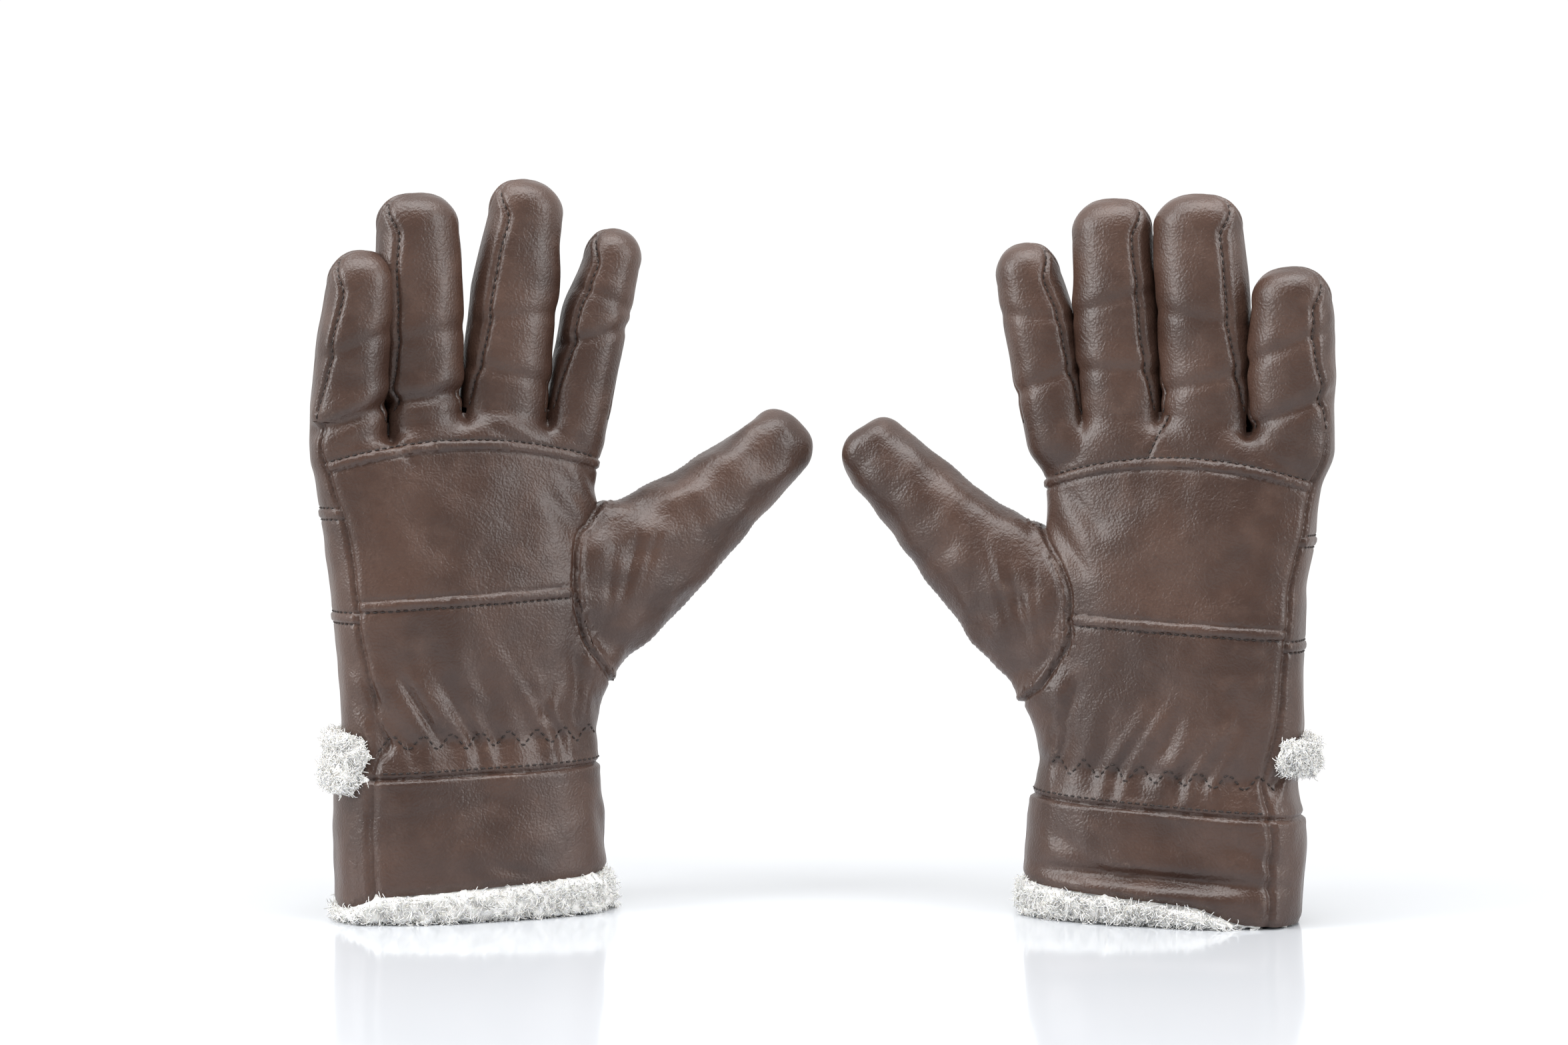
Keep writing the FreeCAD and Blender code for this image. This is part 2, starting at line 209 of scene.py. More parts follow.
# Seams
STRIP_HALF = 7.0
SEAM_TWIST = 16.0                     # degrees that a finger's seams turn to the little finger's side
# Height of the leather's lower edge over the floor at the little finger side and the thumb side
HEM = {"right": (9.0, 14.6), "left": (4.0, 12.2)}
# and where it drops on the little finger's side: from and to this far from the middle, and by how much
HEM_DROP = {"right": (-36, -52, 4.5), "left": (-14, -34, 4.3)}
LOWEST_HEM = 0.8
CUFF_SEAM = {"right": (46.5, 49.5), "left": (42.8, 48.4)}
HEEL_SEAM = (107.5, 113.5)
ARC_SEAM = {"right": (157.5, 165.5, 157.0), "left": (158.5, 168.5, 160.0)}
STRAP = (104.0, 141.0)
SIDE_X = 52.0
ELASTIC = {"right": (59.3, 61.3), "left": (54.8, 61.0)}
TRIM = {"right": (43.5, 62.0), "left": (59.7, 70.3)}
TRIM_START, TRIM_END_X = 2.2, 30.0    # from just past the side seam to the thumb side


# ---------------------------------------------------------------- small mathematics

def smoothstep(low, high, x):
    t = np.clip((x - low) / (high - low), 0, 1)
    return t * t * (3 - 2 * t)


def bump(x, width):
    return np.exp(-(x / width) ** 2)


def smooth_min(a, b, k):
    h = np.clip(k - np.abs(a - b), 0, None) / k
    return np.minimum(a, b) - h * h * k / 4


def smooth_max(a, b, k):
    return -smooth_min(-a, -b, k)


def table(knots, values, softness=7.0):
    """A smooth function through a few knots: straight runs between them, rounded over softness."""
    fine = np.arange(knots[0] - 4 * softness, knots[-1] + 4 * softness, 0.5)
    straight = np.interp(fine, knots, values)
    window = np.exp(-np.linspace(-2.5, 2.5, int(4 * softness) + 1) ** 2)
    window /= window.sum()
    pad = len(window) // 2
    rounded = np.convolve(np.pad(straight, pad, mode="edge"), window, mode="valid")
    return lambda x: np.interp(x, fine, rounded)


class Waves:
    """A smooth random field: a sum of waves in random directions, about -1 to 1."""

    def __init__(self, seed, wavelength, count=14):
        rng = np.random.default_rng(seed)
        directions = rng.normal(size=(count, 3))
        directions /= np.linalg.norm(directions, axis=1)[:, None]
        lengths = wavelength * rng.uniform(0.7, 1.5, count)
        self.k = directions * (2 * np.pi / lengths)[:, None]
        self.phase = rng.uniform(0, 2 * np.pi, count)

    def __call__(self, p):
        total = np.zeros(len(p))
        for k, phase in zip(self.k, self.phase):
            total += np.sin(p @ k + phase)
        return total / math.sqrt(len(self.phase))


def rounded_box(u, v, power):
    """How many times further out than the unit superellipse a point lies."""
    return (np.abs(u) ** power + np.abs(v) ** power) ** (1 / power)


def radial(q, *parts):
    """Distance outside a surface that is q times nearer the middle, along the line from the middle."""
    far = np.sqrt(sum(part ** 2 for part in parts))
    return far * (1 - 1 / np.maximum(q, 1e-3))


# ---------------------------------------------------------------- one glove's geometry

hand_palm = table(HAND_DEPTHS[:, 0], HAND_DEPTHS[:, 1])
hand_back = table(HAND_DEPTHS[:, 0], HAND_DEPTHS[:, 2])


class Finger:
    """A finger's frame, worked out from its two hinges, and its shape."""

    # Half width at the base, in the middle and near the tip
    WIDTHS = {
        ("right", "index"): (11.8, 12.0, 10.3), ("right", "middle"): (16.0, 15.8, 13.0),
        ("right", "ring"): (13.8, 15.9, 14.6), ("right", "little"): (13.6, 13.0, 11.6),
        ("left", "index"): (12.2, 13.2, 11.4), ("left", "middle"): (15.0, 15.6, 14.1),
        ("left", "ring"): (16.3, 16.6, 15.8), ("left", "little"): (14.9, 15.2, 13.8),
    }
    # How far its middle line swings to the thumb side at the same places
    SWINGS = {
        ("right", "index"): (0.0, -0.7, 1.5), ("right", "middle"): (-0.5, 0.2, 2.2),
        ("right", "ring"): (-1.4, -1.8, -1.9), ("right", "little"): (0.6, 1.8, 4.0),
        ("left", "index"): (-0.4, -1.2, 0.2), ("left", "middle"): (1.8, 1.2, 0.8),
        ("left", "ring"): (1.2, 2.3, 3.9), ("left", "little"): (3.2, 3.2, 2.6),
    }
    DEPTHS = (13.2, 12.8, 11.6)

    def __init__(self, side, name, base, middle, seed):
        self.name = name
        self.along = (middle - base) / np.linalg.norm(middle - base)
        spread = math.atan2(self.along[0], self.along[2])
        self.across = np.array((math.cos(spread), 0.0, -math.sin(spread)))
        self.back = np.cross(self.along, self.across)
        self.hinges = (base, middle)
        self.origin = base + self.back * HINGE_DEPTH
        self.knuckle = float(np.linalg.norm(middle - base))
        self.length = self.knuckle / MIDDLE_KNUCKLE
        low, mid, high = self.WIDTHS[side, name]
        places = np.array((-30, 0, 0.5 * self.length, self.length - 12))
        self.half = table(places, np.array((low, low, mid, high)))
        low, mid, high = self.DEPTHS
        self.depth = table(places, np.array((low, low, mid, high)))
        low, mid, high = self.SWINGS[side, name]
        self.swing = table(places, np.array((low, low, mid, high)), 10.0)
        self.lumps = Waves(seed, 21.0)

    def local(self, p):
        q = p - self.origin
        s = q @ self.along
        return q @ self.across - self.swing(s), q @ self.back, s

    def distance(self, p):
        u, v, s = self.local(p)
        tip = self.length - TIP_ROUND
        root, root_length = FINGER_ROOT
        beyond = np.clip(s - tip, 0, None) - np.clip(-root - s, 0, None)
        end = np.where(beyond > 0, TIP_ROUND, root_length)
        q = (np.abs(u / self.half(s)) ** 2.25 + np.abs(v / self.depth(s)) ** 2.25
             + np.abs(beyond / end) ** 2.25) ** (1 / 2.25)
        d = radial(q, u, v, beyond)
        return d - 0.25 * self.lumps(p) * smoothstep(-6, 10, s)

    def seam(self, p):
        """Signed distances across the front seam and the back seam, both round the finger's side strips."""
        u, v, s = self.local(p)
        twist = math.radians(SEAM_TWIST) * smoothstep(-4, 26, s)
        v = v * np.cos(twist) - u * np.sin(twist)
        half = STRIP_HALF * (1 - smoothstep(self.length - 16, self.length - 1, s))
        return v + half, v - half


class Glove:
    """One glove: its frame, from the joints' places, and the fields that its skins come from."""

    def __init__(self, side):
        self.side = side
        joints = {j["name"]: j for j in frame["joints"]}
        axis = Vector(joints[f"{side}_index_base_flex"]["axis"])
        sign = 1 if side == "right" else -1
        to_thumb = sign * Vector((axis.x, axis.y, 0)).normalized()
        to_back = sign * Vector((0, 0, 1)).cross(to_thumb)
        root = Vector(joints[f"{side}_thumb_base_flex"]["pos_m"])
        turn = Matrix((to_thumb, to_back, Vector((0, 0, 1)))).transposed()
        origin = root - turn @ (Vector(THUMB_ROOT) * MM)
        self.turn, self.origin, self.mirrored = np.array(turn), np.array(origin), sign < 0
        hinge = lambda name: self.inward(joints[f"{side}_{name}"]["pos_m"])
        first_seed = 0 if sign > 0 else 100
        self.fingers = [
            Finger(side, name, hinge(f"{name}_base_flex"), hinge(f"{name}_middle_flex"), 10 * k + first_seed)
            for k, name in enumerate(FINGER_NAMES)
        ]
        self.thumb_hinges = (hinge("thumb_base_flex"), hinge("thumb_middle_flex"))
        self.thumb_line = raised_thumb(math.radians(THUMB_RAISE[side]))
        self.thumb_along = np.gradient(self.thumb_line[:, :2], axis=0)
        self.thumb_along /= np.linalg.norm(self.thumb_along, axis=1)[:, None]
        self.floor = -self.origin[2] / MM
        outline = OUTLINES[side]
        self.half, self.middle = table(outline[:, 0], outline[:, 1]), table(outline[:, 0], outline[:, 2])
        self.broad = Waves(7 if sign > 0 else 8, 46.0)
        self.small = Waves(17 if sign > 0 else 18, 15.0)

    def knuckle_along(self):
        """The thumb's direction at its knuckle."""
        nearest = np.argmin(np.abs(self.thumb_line[:, 0] - self.thumb_hinges[1][0]))
        x, z = self.thumb_along[nearest]
        return np.array((x, 0.0, z))

    def inward(self, p):
        """From metres in the shared frame to millimetres in the glove's."""
        return (np.array(p, float) - self.origin) @ self.turn / MM

    def outward(self, p):
        return np.asarray(p) * MM @ self.turn.T + self.origin

    def line(self, heights):
        """A level line across the glove, given its height at the little finger side and at the thumb side."""
        low, high = heights
        return lambda x: low + (high - low) * (x + SIDE_X) / (2 * SIDE_X)

    def hem_line(self, x):
        start, end, drop = HEM_DROP[self.side]
        height = self.line(HEM[self.side])(x) - drop * smoothstep(start, end, x - self.middle(0))
        return self.floor + np.maximum(height, LOWEST_HEM)

    def arc_line(self, x):
        left, middle, right = ARC_SEAM[self.side]
        share = x / SIDE_X
        return middle + (right - left) / 2 * share - (middle - (left + right) / 2) * share ** 2

    def side_seam(self, p):
        """Negative on the palm panels, positive on the back ones, which wrap round the little finger side."""
        return p[:, 1] - side_seam_y(p[:, 2]) - SIDE_SEAM_SLOPE * (p[:, 0] + SIDE_SEAM_X)

    def hand_only(self, p):
        x, y, z = p.T
        u = x - self.middle(z)
        depth = np.where(y < 0, hand_palm(z), hand_back(z))
        d = radial(rounded_box(u / self.half(z), y / depth, HAND_POWER), u, y)
        d = smooth_max(d, z - hand_top[self.side](x), 7.0)
        return d - self.folds(p)

    def thumb_only(self, p):
        d = np.full(len(p), 60.0)
        near = np.flatnonzero(p[:, 0] > 8)
        q = p[near]
        best = np.full(len(q), np.inf)
        index = np.zeros(len(q), int)
        for k, (x, z) in enumerate(self.thumb_line[:, :2]):
            far = (q[:, 0] - x) ** 2 + (q[:, 2] - z) ** 2
            closer = far < best
            best[closer] = far[closer]
            index[closer] = k
        at = self.thumb_line[index]
        along = self.thumb_along[index]
        dx, dz = q[:, 0] - at[:, 0], q[:, 2] - at[:, 1]
        forward = dx * along[:, 0] + dz * along[:, 1]
        across = dz * along[:, 0] - dx * along[:, 1]
        last = len(self.thumb_line) - 1
        past_tip = np.where(index == last, np.clip(forward, 0, None), 0)
        beyond = past_tip + np.where(index == 0, np.clip(-forward, 0, None), 0)
        a, b = at[:, 2], at[:, 3]
        q_out = (np.abs(across / a) ** THUMB_POWER + np.abs(q[:, 1] / b) ** THUMB_POWER
                 + (beyond / (THUMB_TIP_ROUND * b)) ** THUMB_POWER) ** (1 / THUMB_POWER)
        d[near] = radial(q_out, across, q[:, 1], beyond) - 0.5 * self.small(q) - self.thumb_folds(q)
        return d

    def thumb_folds(self, p):
        """Shallow creases that run round the thumb's root."""
        palm = smoothstep(2, -6, p[:, 1])
        total = np.zeros(len(p))
        for x, slope, depth, width in THUMB_FOLDS:
            off = p[:, 0] - x - slope * (p[:, 2] - 118)
            total -= depth * bump(off, width) * bump(p[:, 2] - 118 - (x - 49) * 0.6, 16)
        return total * palm

    def folds(self, p):
        """How far the hand's skin stands out: broad unevenness, gathers at the elastic, and single folds."""
        x, y, z = p.T
        palm = smoothstep(3, -8, y)
        total = 0.9 * self.broad(p) * smoothstep(8, 40, z) + 0.2 * self.small(p)
        off = z - self.line(ELASTIC[self.side])(x)
        lean = np.where(off > 0, -0.62, -0.15)
        along = (x - lean * off) / 10.6
        wave = np.sin(2 * np.pi * along + 1.1 * np.sin(along * 2.3 + (2 if self.mirrored else 0)))
        reach = np.where(off > 0, np.exp(-np.clip(off, 0, None) / 11), np.exp(np.clip(off, None, 0) / 8))
        total += palm * reach * (0.95 * wave - 0.2) * smoothstep(46.5, 51, z) * smoothstep(48, 42, np.abs(x))
        total -= palm * 0.8 * bump(off, 3.2)
        total += 0.8 * bump(z - 28, 16)
        for (x0, z0), (x1, z1), width, height in FOLDS[self.side]:
            run = np.array((x1 - x0, z1 - z0), float)
            length = np.linalg.norm(run)
            run /= length
            s = ((x - x0) * run[0] + (z - z0) * run[1]) / length
            off = (x - x0) * -run[1] + (z - z0) * run[0]
            ends = smoothstep(-0.12, 0.3, s) * smoothstep(1.12, 0.7, s)
            profile = bump(off, width) - 0.55 * bump(off - 2.0 * width, 1.5 * width)
            total += height * profile * ends * palm
        return total

    def with_finger(self, hand, finger, p):
        own = finger.distance(p) - self.finger_folds(finger, p)
        return smooth_min(hand, own, WEB_SOFTNESS)

    def finger_folds(self, finger, p):
        total = np.zeros(len(p))
        u, v, s = finger.local(p)
        for where, slope, depth, width in FINGER_FOLDS.get((self.side, finger.name), ()):
            off = s - where - slope * u
            crease = depth * bump(off, width) - 0.35 * depth * bump(off - 2.2 * width, 1.4 * width)
            total -= crease * smoothstep(4, -5, v)
        return total

    def hand_skin(self, p):
        """Hand and thumb with the fingers' roots."""
        hand = self.hand_only(p)
        d = hand
        for finger in self.fingers:
            d = np.minimum(d, self.with_finger(hand, finger, p))
        under_thumb = THUMB_FILLET * smoothstep(100, 84, p[:, 2]) * smoothstep(30, 42, p[:, 0])
        return smooth_min(d, self.thumb_only(p), THUMB_SOFTNESS + under_thumb)

    def finger_skin(self, finger):
        return lambda p: self.with_finger(self.hand_only(p), finger, p)

    def nearest_to(self, finger):
        """A test for the points that lie nearer this finger's middle plane than any other's."""
        def nearest(c):
            own = np.abs(finger.local(c)[0])
            return np.all([own <= np.abs(f.local(c)[0]) for f in self.fingers], axis=0) & (c[:, 0] < 80)
        return nearest


HAND_TOP_PLACES = np.array((-60, -44, -30, -15, 0, 14, 29, 42, 60))
hand_top = {
    "right": table(HAND_TOP_PLACES, np.array((163, 166, 166, 172, 175, 173, 170, 169, 164)), 5.0),
    "left": table(HAND_TOP_PLACES, np.array((167, 172, 175, 180, 183, 182, 180, 177, 168)), 5.0),
}
SIDE_SEAM = np.array(((5, -19.3), (58, -17.8), (110, -13.6), (140, -9.5), (160, -6.0), (178, -5.0)))  # z, y
side_seam_y = table(SIDE_SEAM[:, 0], SIDE_SEAM[:, 1], 6.0)
SIDE_SEAM_SLOPE, SIDE_SEAM_X = 0.165, 44.0
THUMB_SOFTNESS = 2.5
THUMB_FILLET = 17.0                   # the leather bridges the corner under the thumb

# Single folds on the palm side of each hand: from (x, z), to (x, z), width, and height (a crease is negative)
FOLDS = {
    "right": (
        ((-29, 84), (-15, 61), 1.7, -2.2),
        ((-21, 99), (-3, 60), 3.6, -1.3),
        ((-44, 88), (-27, 56), 2.4, -1.2),
        ((-6, 92), (8, 64), 4.0, -1.0),
        ((38, 92), (34, 62), 2.6, -1.1),
        ((26, 80), (22, 64), 2.2, -0.9),
        ((3, 15), (24, 10), 2.0, -0.8),
        ((44, 36), (50, 14), 3.0, -1.3),
        ((-36, 42), (-34, 12), 3.5, -0.8),
        ((-50, 164), (-28, 173), 2.8, -1.7),
        ((-30, 168), (-22, 158), 2.0, -1.0),
        ((30, 171), (50, 163), 2.2, -1.4),
        ((4, 172), (20, 166), 2.0, -0.9),
        ((24, 150), (42, 128), 3.6, -1.0),
        ((30, 156), (46, 138), 2.4, -0.9),
        ((40, 160), (47, 146), 2.2, -1.0),
        ((-30, 150), (-8, 118), 6.0, -0.9),
    ),
    "left": (
        ((52, 24), (-40, 20), 2.8, -3.2),
        ((44, 38), (20, 22), 3.4, -0.9),
        ((-20, 36), (-44, 24), 3.2, -0.8),
        ((34, 92), (40, 62), 2.6, -1.1),
        ((20, 84), (26, 64), 3.0, -0.9),
        ((-4, 82), (2, 64), 3.0, -0.8),
        ((-22, 90), (-30, 62), 3.4, -1.0),
        ((40, 160), (24, 142), 2.6, -1.0),
        ((46, 150), (30, 128), 3.0, -1.0),
        ((-34, 152), (-20, 120), 5.0, -1.1),
        ((-30, 172), (-48, 163), 2.4, -1.5),
        ((-10, 172), (-24, 164), 2.2, -0.9),
        ((34, 171), (50, 164), 2.2, -1.3),
    ),
}

# Creases round the thumb: x at height 118, slope, depth, width
THUMB_FOLDS = ((49.0, 0.10, 0.5, 1.6), (56.0, 0.28, 0.9, 2.2), (62.0, 0.30, 0.5, 1.8), (93.0, -0.5, 0.5, 4.0))

# Folds across a finger's palm side: distance along it, slope, depth, width
FINGER_FOLDS = {
    ("right", "ring"): ((2.0, 0.12, 1.5, 2.4), (24.0, 0.2, 0.4, 2.5)),
    ("right", "little"): ((-2.0, 0.42, 1.7, 2.6), (24.0, 0.5, 0.5, 2.4)),
    ("right", "middle"): ((9.0, -0.15, 0.6, 2.4), (30.0, 0.2, 0.5, 2.6)),
    ("right", "index"): ((26.0, 0.5, 0.8, 2.2), (40.0, -0.2, 0.5, 2.0)),
    ("left", "index"): ((10.0, -0.2, 0.7, 2.4), (34.0, 0.3, 0.5, 2.2)),
    ("left", "middle"): ((12.0, 0.1, 0.6, 2.2), (36.0, -0.2, 0.5, 2.4)),
    ("left", "ring"): ((7.0, -0.2, 0.7, 2.4), (30.0, 0.2, 0.4, 2.4)),
    ("left", "little"): ((3.0, -0.4, 1.4, 2.6), (26.0, -0.4, 0.7, 2.4)),
}


def smooth_line(knots, count):
    """Evenly spaced rows along a smooth line through the rows of knots."""
    t = np.arange(len(knots))
    fine = np.linspace(0, len(knots) - 1, count)
    return np.column_stack([table(t * 10.0, knots[:, k], 6.0)(fine * 10.0) for k in range(knots.shape[1])])


def raised_thumb(angle):
    """The thumb's line, turned up about its root beyond the hand."""
    line = smooth_line(THUMB, 70)
    root = np.array((THUMB_ROOT[0], THUMB_ROOT[2]))
    turned = angle * smoothstep(36, 70, line[:, 0])
    off = line[:, :2] - root
    line[:, 0] = root[0] + off[:, 0] * np.cos(turned) - off[:, 1] * np.sin(turned)
    line[:, 1] = root[1] + off[:, 0] * np.sin(turned) + off[:, 1] * np.cos(turned)
    return line


# ---------------------------------------------------------------- from a field to panels

def gradient(field, p, step=0.25):
    here = field(p)
    slopes = [(field(p + step * np.eye(3)[k]) - here) / step for k in range(3)]
    return here, np.column_stack(slopes)


def isosurface(field, low, high, voxel):
    """Points and triangles of the surface where the field is zero."""
    axes = [np.arange(a, b + voxel, voxel) for a, b in zip(low, high)]
    xs, ys, zs = axes
    values = np.empty([len(a) for a in axes], np.float32)
    plane = np.array(np.meshgrid(xs, ys, indexing="ij")).reshape(2, -1).T
    slab = 12
    for k in range(0, len(zs), slab):
        some = zs[k:k + slab]
        p = np.column_stack((np.repeat(plane, len(some), axis=0), np.tile(some, len(plane))))
        values[:, :, k:k + slab] = field(p).reshape(len(xs), len(ys), len(some))
    grid = openvdb.FloatGrid(3 * voxel)
    grid.copyFromArray(np.clip(values, -3 * voxel, 3 * voxel))
    p, quads = grid.convertToQuads(isovalue=0.0)
    p = p.astype(float) * voxel + np.array(low)
    for _ in range(2):
        here, slope = gradient(field, p)
        p -= slope * (np.clip(here, -voxel, voxel) / np.maximum((slope ** 2).sum(1), 0.2))[:, None]
    a, b, c, d = quads.astype(int).T
    short = ((p[a] - p[c]) ** 2).sum(1) < ((p[b] - p[d]) ** 2).sum(1)
    t = np.concatenate((
        np.column_stack((a, b, c))[short], np.column_stack((a, c, d))[short],
        np.column_stack((b, c, d))[~short], np.column_stack((b, d, a))[~short],
    ))
    normal = np.cross(p[t[:, 1]] - p[t[:, 0]], p[t[:, 2]] - p[t[:, 0]])
    outward = gradient(field, p[t[:, 0]])[1]
    if (normal * outward).sum() < 0:
        t = t[:, ::-1]
    return p, t


class Skin:
    """Triangles that are cut along seams. Each triangle has the number of the panel that it is in.

    p are the points, and rest the same points before seams were pressed into them.
    """

    SNAP = 0.12

    def __init__(self, p, t):
        self.p, self.rest, self.t = p, p, t
        self.panel = np.zeros(len(t), int)

    def centres(self):
        return self.p[self.t].mean(axis=1)

    def keep(self, mask):
        self.t, self.panel = self.t[mask], self.panel[mask]

    def off(self, function, level):
        """How far each point is off a function's level, and exactly 0 near it."""
        value = function(self.p) - level
        value[np.abs(value) < self.SNAP] = 0
        return value

    def inside(self, panels, where):
        chosen = np.ones(len(self.t), bool) if panels is None else np.isin(self.panel, panels)
        return chosen if where is None else chosen & where(self.centres())

    def cut(self, function, levels=(0.0,), panels=None, where=None, new_panel=None):
        """Cuts along function = level. The part beyond level 0 becomes new_panel."""
        for level in levels:
            self.split(self.off(function, level), self.inside(panels, where))
            if level == 0 and new_panel is not None:
                beyond = self.off(function, level)[self.t].sum(axis=1) > 0
                self.panel[self.inside(panels, where) & beyond] = new_panel

    def split(self, value, inside):
        t, n = self.t, len(self.p)
        pairs = np.stack((t, np.roll(t, -1, axis=1)), axis=2)
        crossing = (value[pairs[:, :, 0]] * value[pairs[:, :, 1]] < 0) & inside[:, None]
        if not crossing.any():
            return
        low, high = pairs.min(axis=2).astype(np.int64), pairs.max(axis=2).astype(np.int64)
        keys = low * n + high
        cut_keys = np.unique(keys[crossing])
        one, other = cut_keys // n, cut_keys % n
        share = (value[one] / (value[one] - value[other]))[:, None]
        place = np.clip(np.searchsorted(cut_keys, keys), 0, len(cut_keys) - 1)
        is_cut = cut_keys[place] == keys
        middle = np.where(is_cut, place + n, -1)
        count = is_cut.sum(axis=1)
        made, made_panel = [t[count == 0]], [self.panel[count == 0]]

        def add(rows, *columns):
            made.append(np.column_stack(columns))
            made_panel.append(self.panel[rows])

        for number in (1, 2):
            for first in range(3):
                turn = [(first + k) % 3 for k in range(3)]
                # with one cut edge it is the first edge, and with two the last edge is whole
                this_turn = is_cut[:, turn[0]] if number == 1 else ~is_cut[:, turn[2]]
                rows = np.flatnonzero((count == number) & this_turn)
                a, b, c = (t[rows, k] for k in turn)
                m, k = middle[rows, turn[0]], middle[rows, turn[1]]
                if number == 1:
                    add(rows, a, m, c)
                    add(rows, m, b, c)
                else:
                    add(rows, m, b, k)
                    add(rows, a, m, k)
                    add(rows, a, k, c)
        rows = np.flatnonzero(count == 3)
        a, b, c = t[rows].T
        m, k, l = middle[rows].T
        for corner in ((a, m, l), (m, b, k), (l, k, c), (m, k, l)):
            add(rows, *corner)
        self.rest = np.concatenate((self.rest, self.rest[one] * (1 - share) + self.rest[other] * share))
        self.p = np.concatenate((self.p, self.p[one] * (1 - share) + self.p[other] * share))
        self.t = np.concatenate(made)
        self.panel = np.concatenate(made_panel)

    def normals(self):
        corners = self.p[self.t]
        face = np.cross(corners[:, 1] - corners[:, 0], corners[:, 2] - corners[:, 0])
        total = np.zeros_like(self.p)
        for k in range(3):
            np.add.at(total, self.t[:, k], face)
        return total / np.maximum(np.linalg.norm(total, axis=1), 1e-9)[:, None]


# ---------------------------------------------------------------- seams on a skin

def groove(off, depth, width=0.75, puff=0.3):
    """Two turned-in edges that meet: a narrow valley with a slightly full edge on each side."""
    return -depth * bump(off, width) + puff * bump(np.abs(off) - 2.1, 1.3)


def welt(off, height, half=1.3):
    """A raised band with a narrow valley on each side."""
    band = height * smoothstep(half + 0.5, half - 0.3, np.abs(off))
    return band - 0.45 * bump(np.abs(off) - half - 0.7, 0.6)


GROOVE_LEVELS = (-1.5, -0.7, 0.0, 0.7, 1.5)
WELT_LEVELS = (-2.0, -1.3, 0.0, 1.3, 2.0)
THUMB_LEVELS = (-1.4, -0.7, 0.7, 1.4, 2.4)
HAND_BOX = (-63, -34, -5), (138, 34, 196)
THUMB_ZONE = (28, 66, 166)            # the thumb's seam is beyond this x, between these heights
THUMB_SKIN_X = 62                     # beyond this x everything is the thumb
PALM, BACK, CUFF_FRONT, CUFF_BACK, HEEL, FINGERS, BACK_LOW, BACK_STRAP, BACK_UP, THUMB_SKIN = range(10)
VOXEL = 1.5 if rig.quick() else 1.1


def plane_z(line):
    return lambda p: p[:, 2] - line(p[:, 0])


def away(function):
    """A seam function as a distance along the surface: its value over its slope."""
    def distance(p):
        value, slope = gradient(function, p)
        return value / np.maximum(np.linalg.norm(slope, axis=1), 0.15)
    return distance


def seams_of(glove):
    """Signed distances from the hand's seams: each is positive above its seam, or past it."""
    strap_low, strap_high = (plane_z(lambda x, h=h: np.full_like(x, h)) for h in STRAP)
    return SimpleNamespace(
        hem=plane_z(glove.hem_line), cuff=plane_z(glove.line(CUFF_SEAM[glove.side])),
        heel=plane_z(glove.line(HEEL_SEAM)), arc=plane_z(glove.arc_line),
        strap_low=strap_low, strap_high=strap_high,
        thumb=away(lambda p: glove.hand_only(p) - glove.thumb_only(p)),
    )


def by_thumb(p, shrink=(0, 0, 0)):
    """Where the thumb's seam runs."""
    x, low, high = np.add(THUMB_ZONE, shrink)
    return (p[:, 0] > x) & (p[:, 2] < high) & (p[:, 2] > low)


def cut_fingers_off(glove, skin):
    """Ends the hand's skin at the fingers' rings."""
    for finger in glove.fingers:
        nearest = glove.nearest_to(finger)
        ring = lambda p, finger=finger: finger.local(p)[2] - FINGER_RING
        skin.cut(ring, where=nearest)
        c = skin.centres()
        skin.keep(~((ring(c) > 0) & nearest(c)))


def slanted_seam(p):
    """The short seam over the left palm's arc, at a slant."""
    return SLANTED_SEAM[0] + SLANTED_SEAM[1] * (p[:, 2] - 168) - p[:, 0]


def hand_panels(glove):
    """The hand's skin and the thumb's, cut into panels, with the seams pressed into it."""
    skin = Skin(*isosurface(glove.hand_skin, *HAND_BOX, VOXEL))
    seams = seams_of(glove)
    hem, cuff, heel, arc, set_in = seams.hem, seams.cuff, seams.heel, seams.arc, seams.thumb
    skin.cut(hem)
    skin.keep(hem(skin.centres()) > 0)
    cut_fingers_off(glove, skin)

    skin.cut(set_in, where=by_thumb, new_panel=THUMB_SKIN)
    skin.panel[skin.centres()[:, 0] > THUMB_SKIN_X] = THUMB_SKIN
    skin.cut(glove.side_seam, panels=[PALM], new_panel=BACK)
    skin.cut(lambda p: -cuff(p), panels=[PALM], new_panel=CUFF_FRONT)
    skin.cut(lambda p: -cuff(p), panels=[BACK], new_panel=CUFF_BACK)
    skin.cut(lambda p: -heel(p), panels=[PALM], new_panel=HEEL)
    skin.cut(arc, panels=[PALM], new_panel=FINGERS)
    skin.cut(lambda p: -seams.strap_high(p), panels=[BACK], new_panel=BACK_STRAP)
    skin.cut(lambda p: -seams.strap_low(p), panels=[BACK_STRAP], new_panel=BACK_LOW)
    skin.panel[skin.panel == BACK] = BACK_UP

    palm_panels, back_panels = [PALM, FINGERS, HEEL, CUFF_FRONT], [BACK_UP, BACK_STRAP, BACK_LOW, CUFF_BACK]
    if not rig.quick():
        for function, levels, panels in (
            (set_in, THUMB_LEVELS, None), (glove.side_seam, GROOVE_LEVELS, palm_panels + back_panels),
            (cuff, GROOVE_LEVELS, palm_panels + back_panels), (heel, WELT_LEVELS, palm_panels),
            (arc, WELT_LEVELS, palm_panels), (seams.strap_low, WELT_LEVELS, back_panels),
            (seams.strap_high, WELT_LEVELS, back_panels),
        ):
            where = by_thumb if function is set_in else None
            skin.cut(function, [level for level in levels if level], panels=panels, where=where)
    skin.p = skin.p + skin.normals() * pressed_seams(glove, seams, skin.p)[:, None]
    return skin


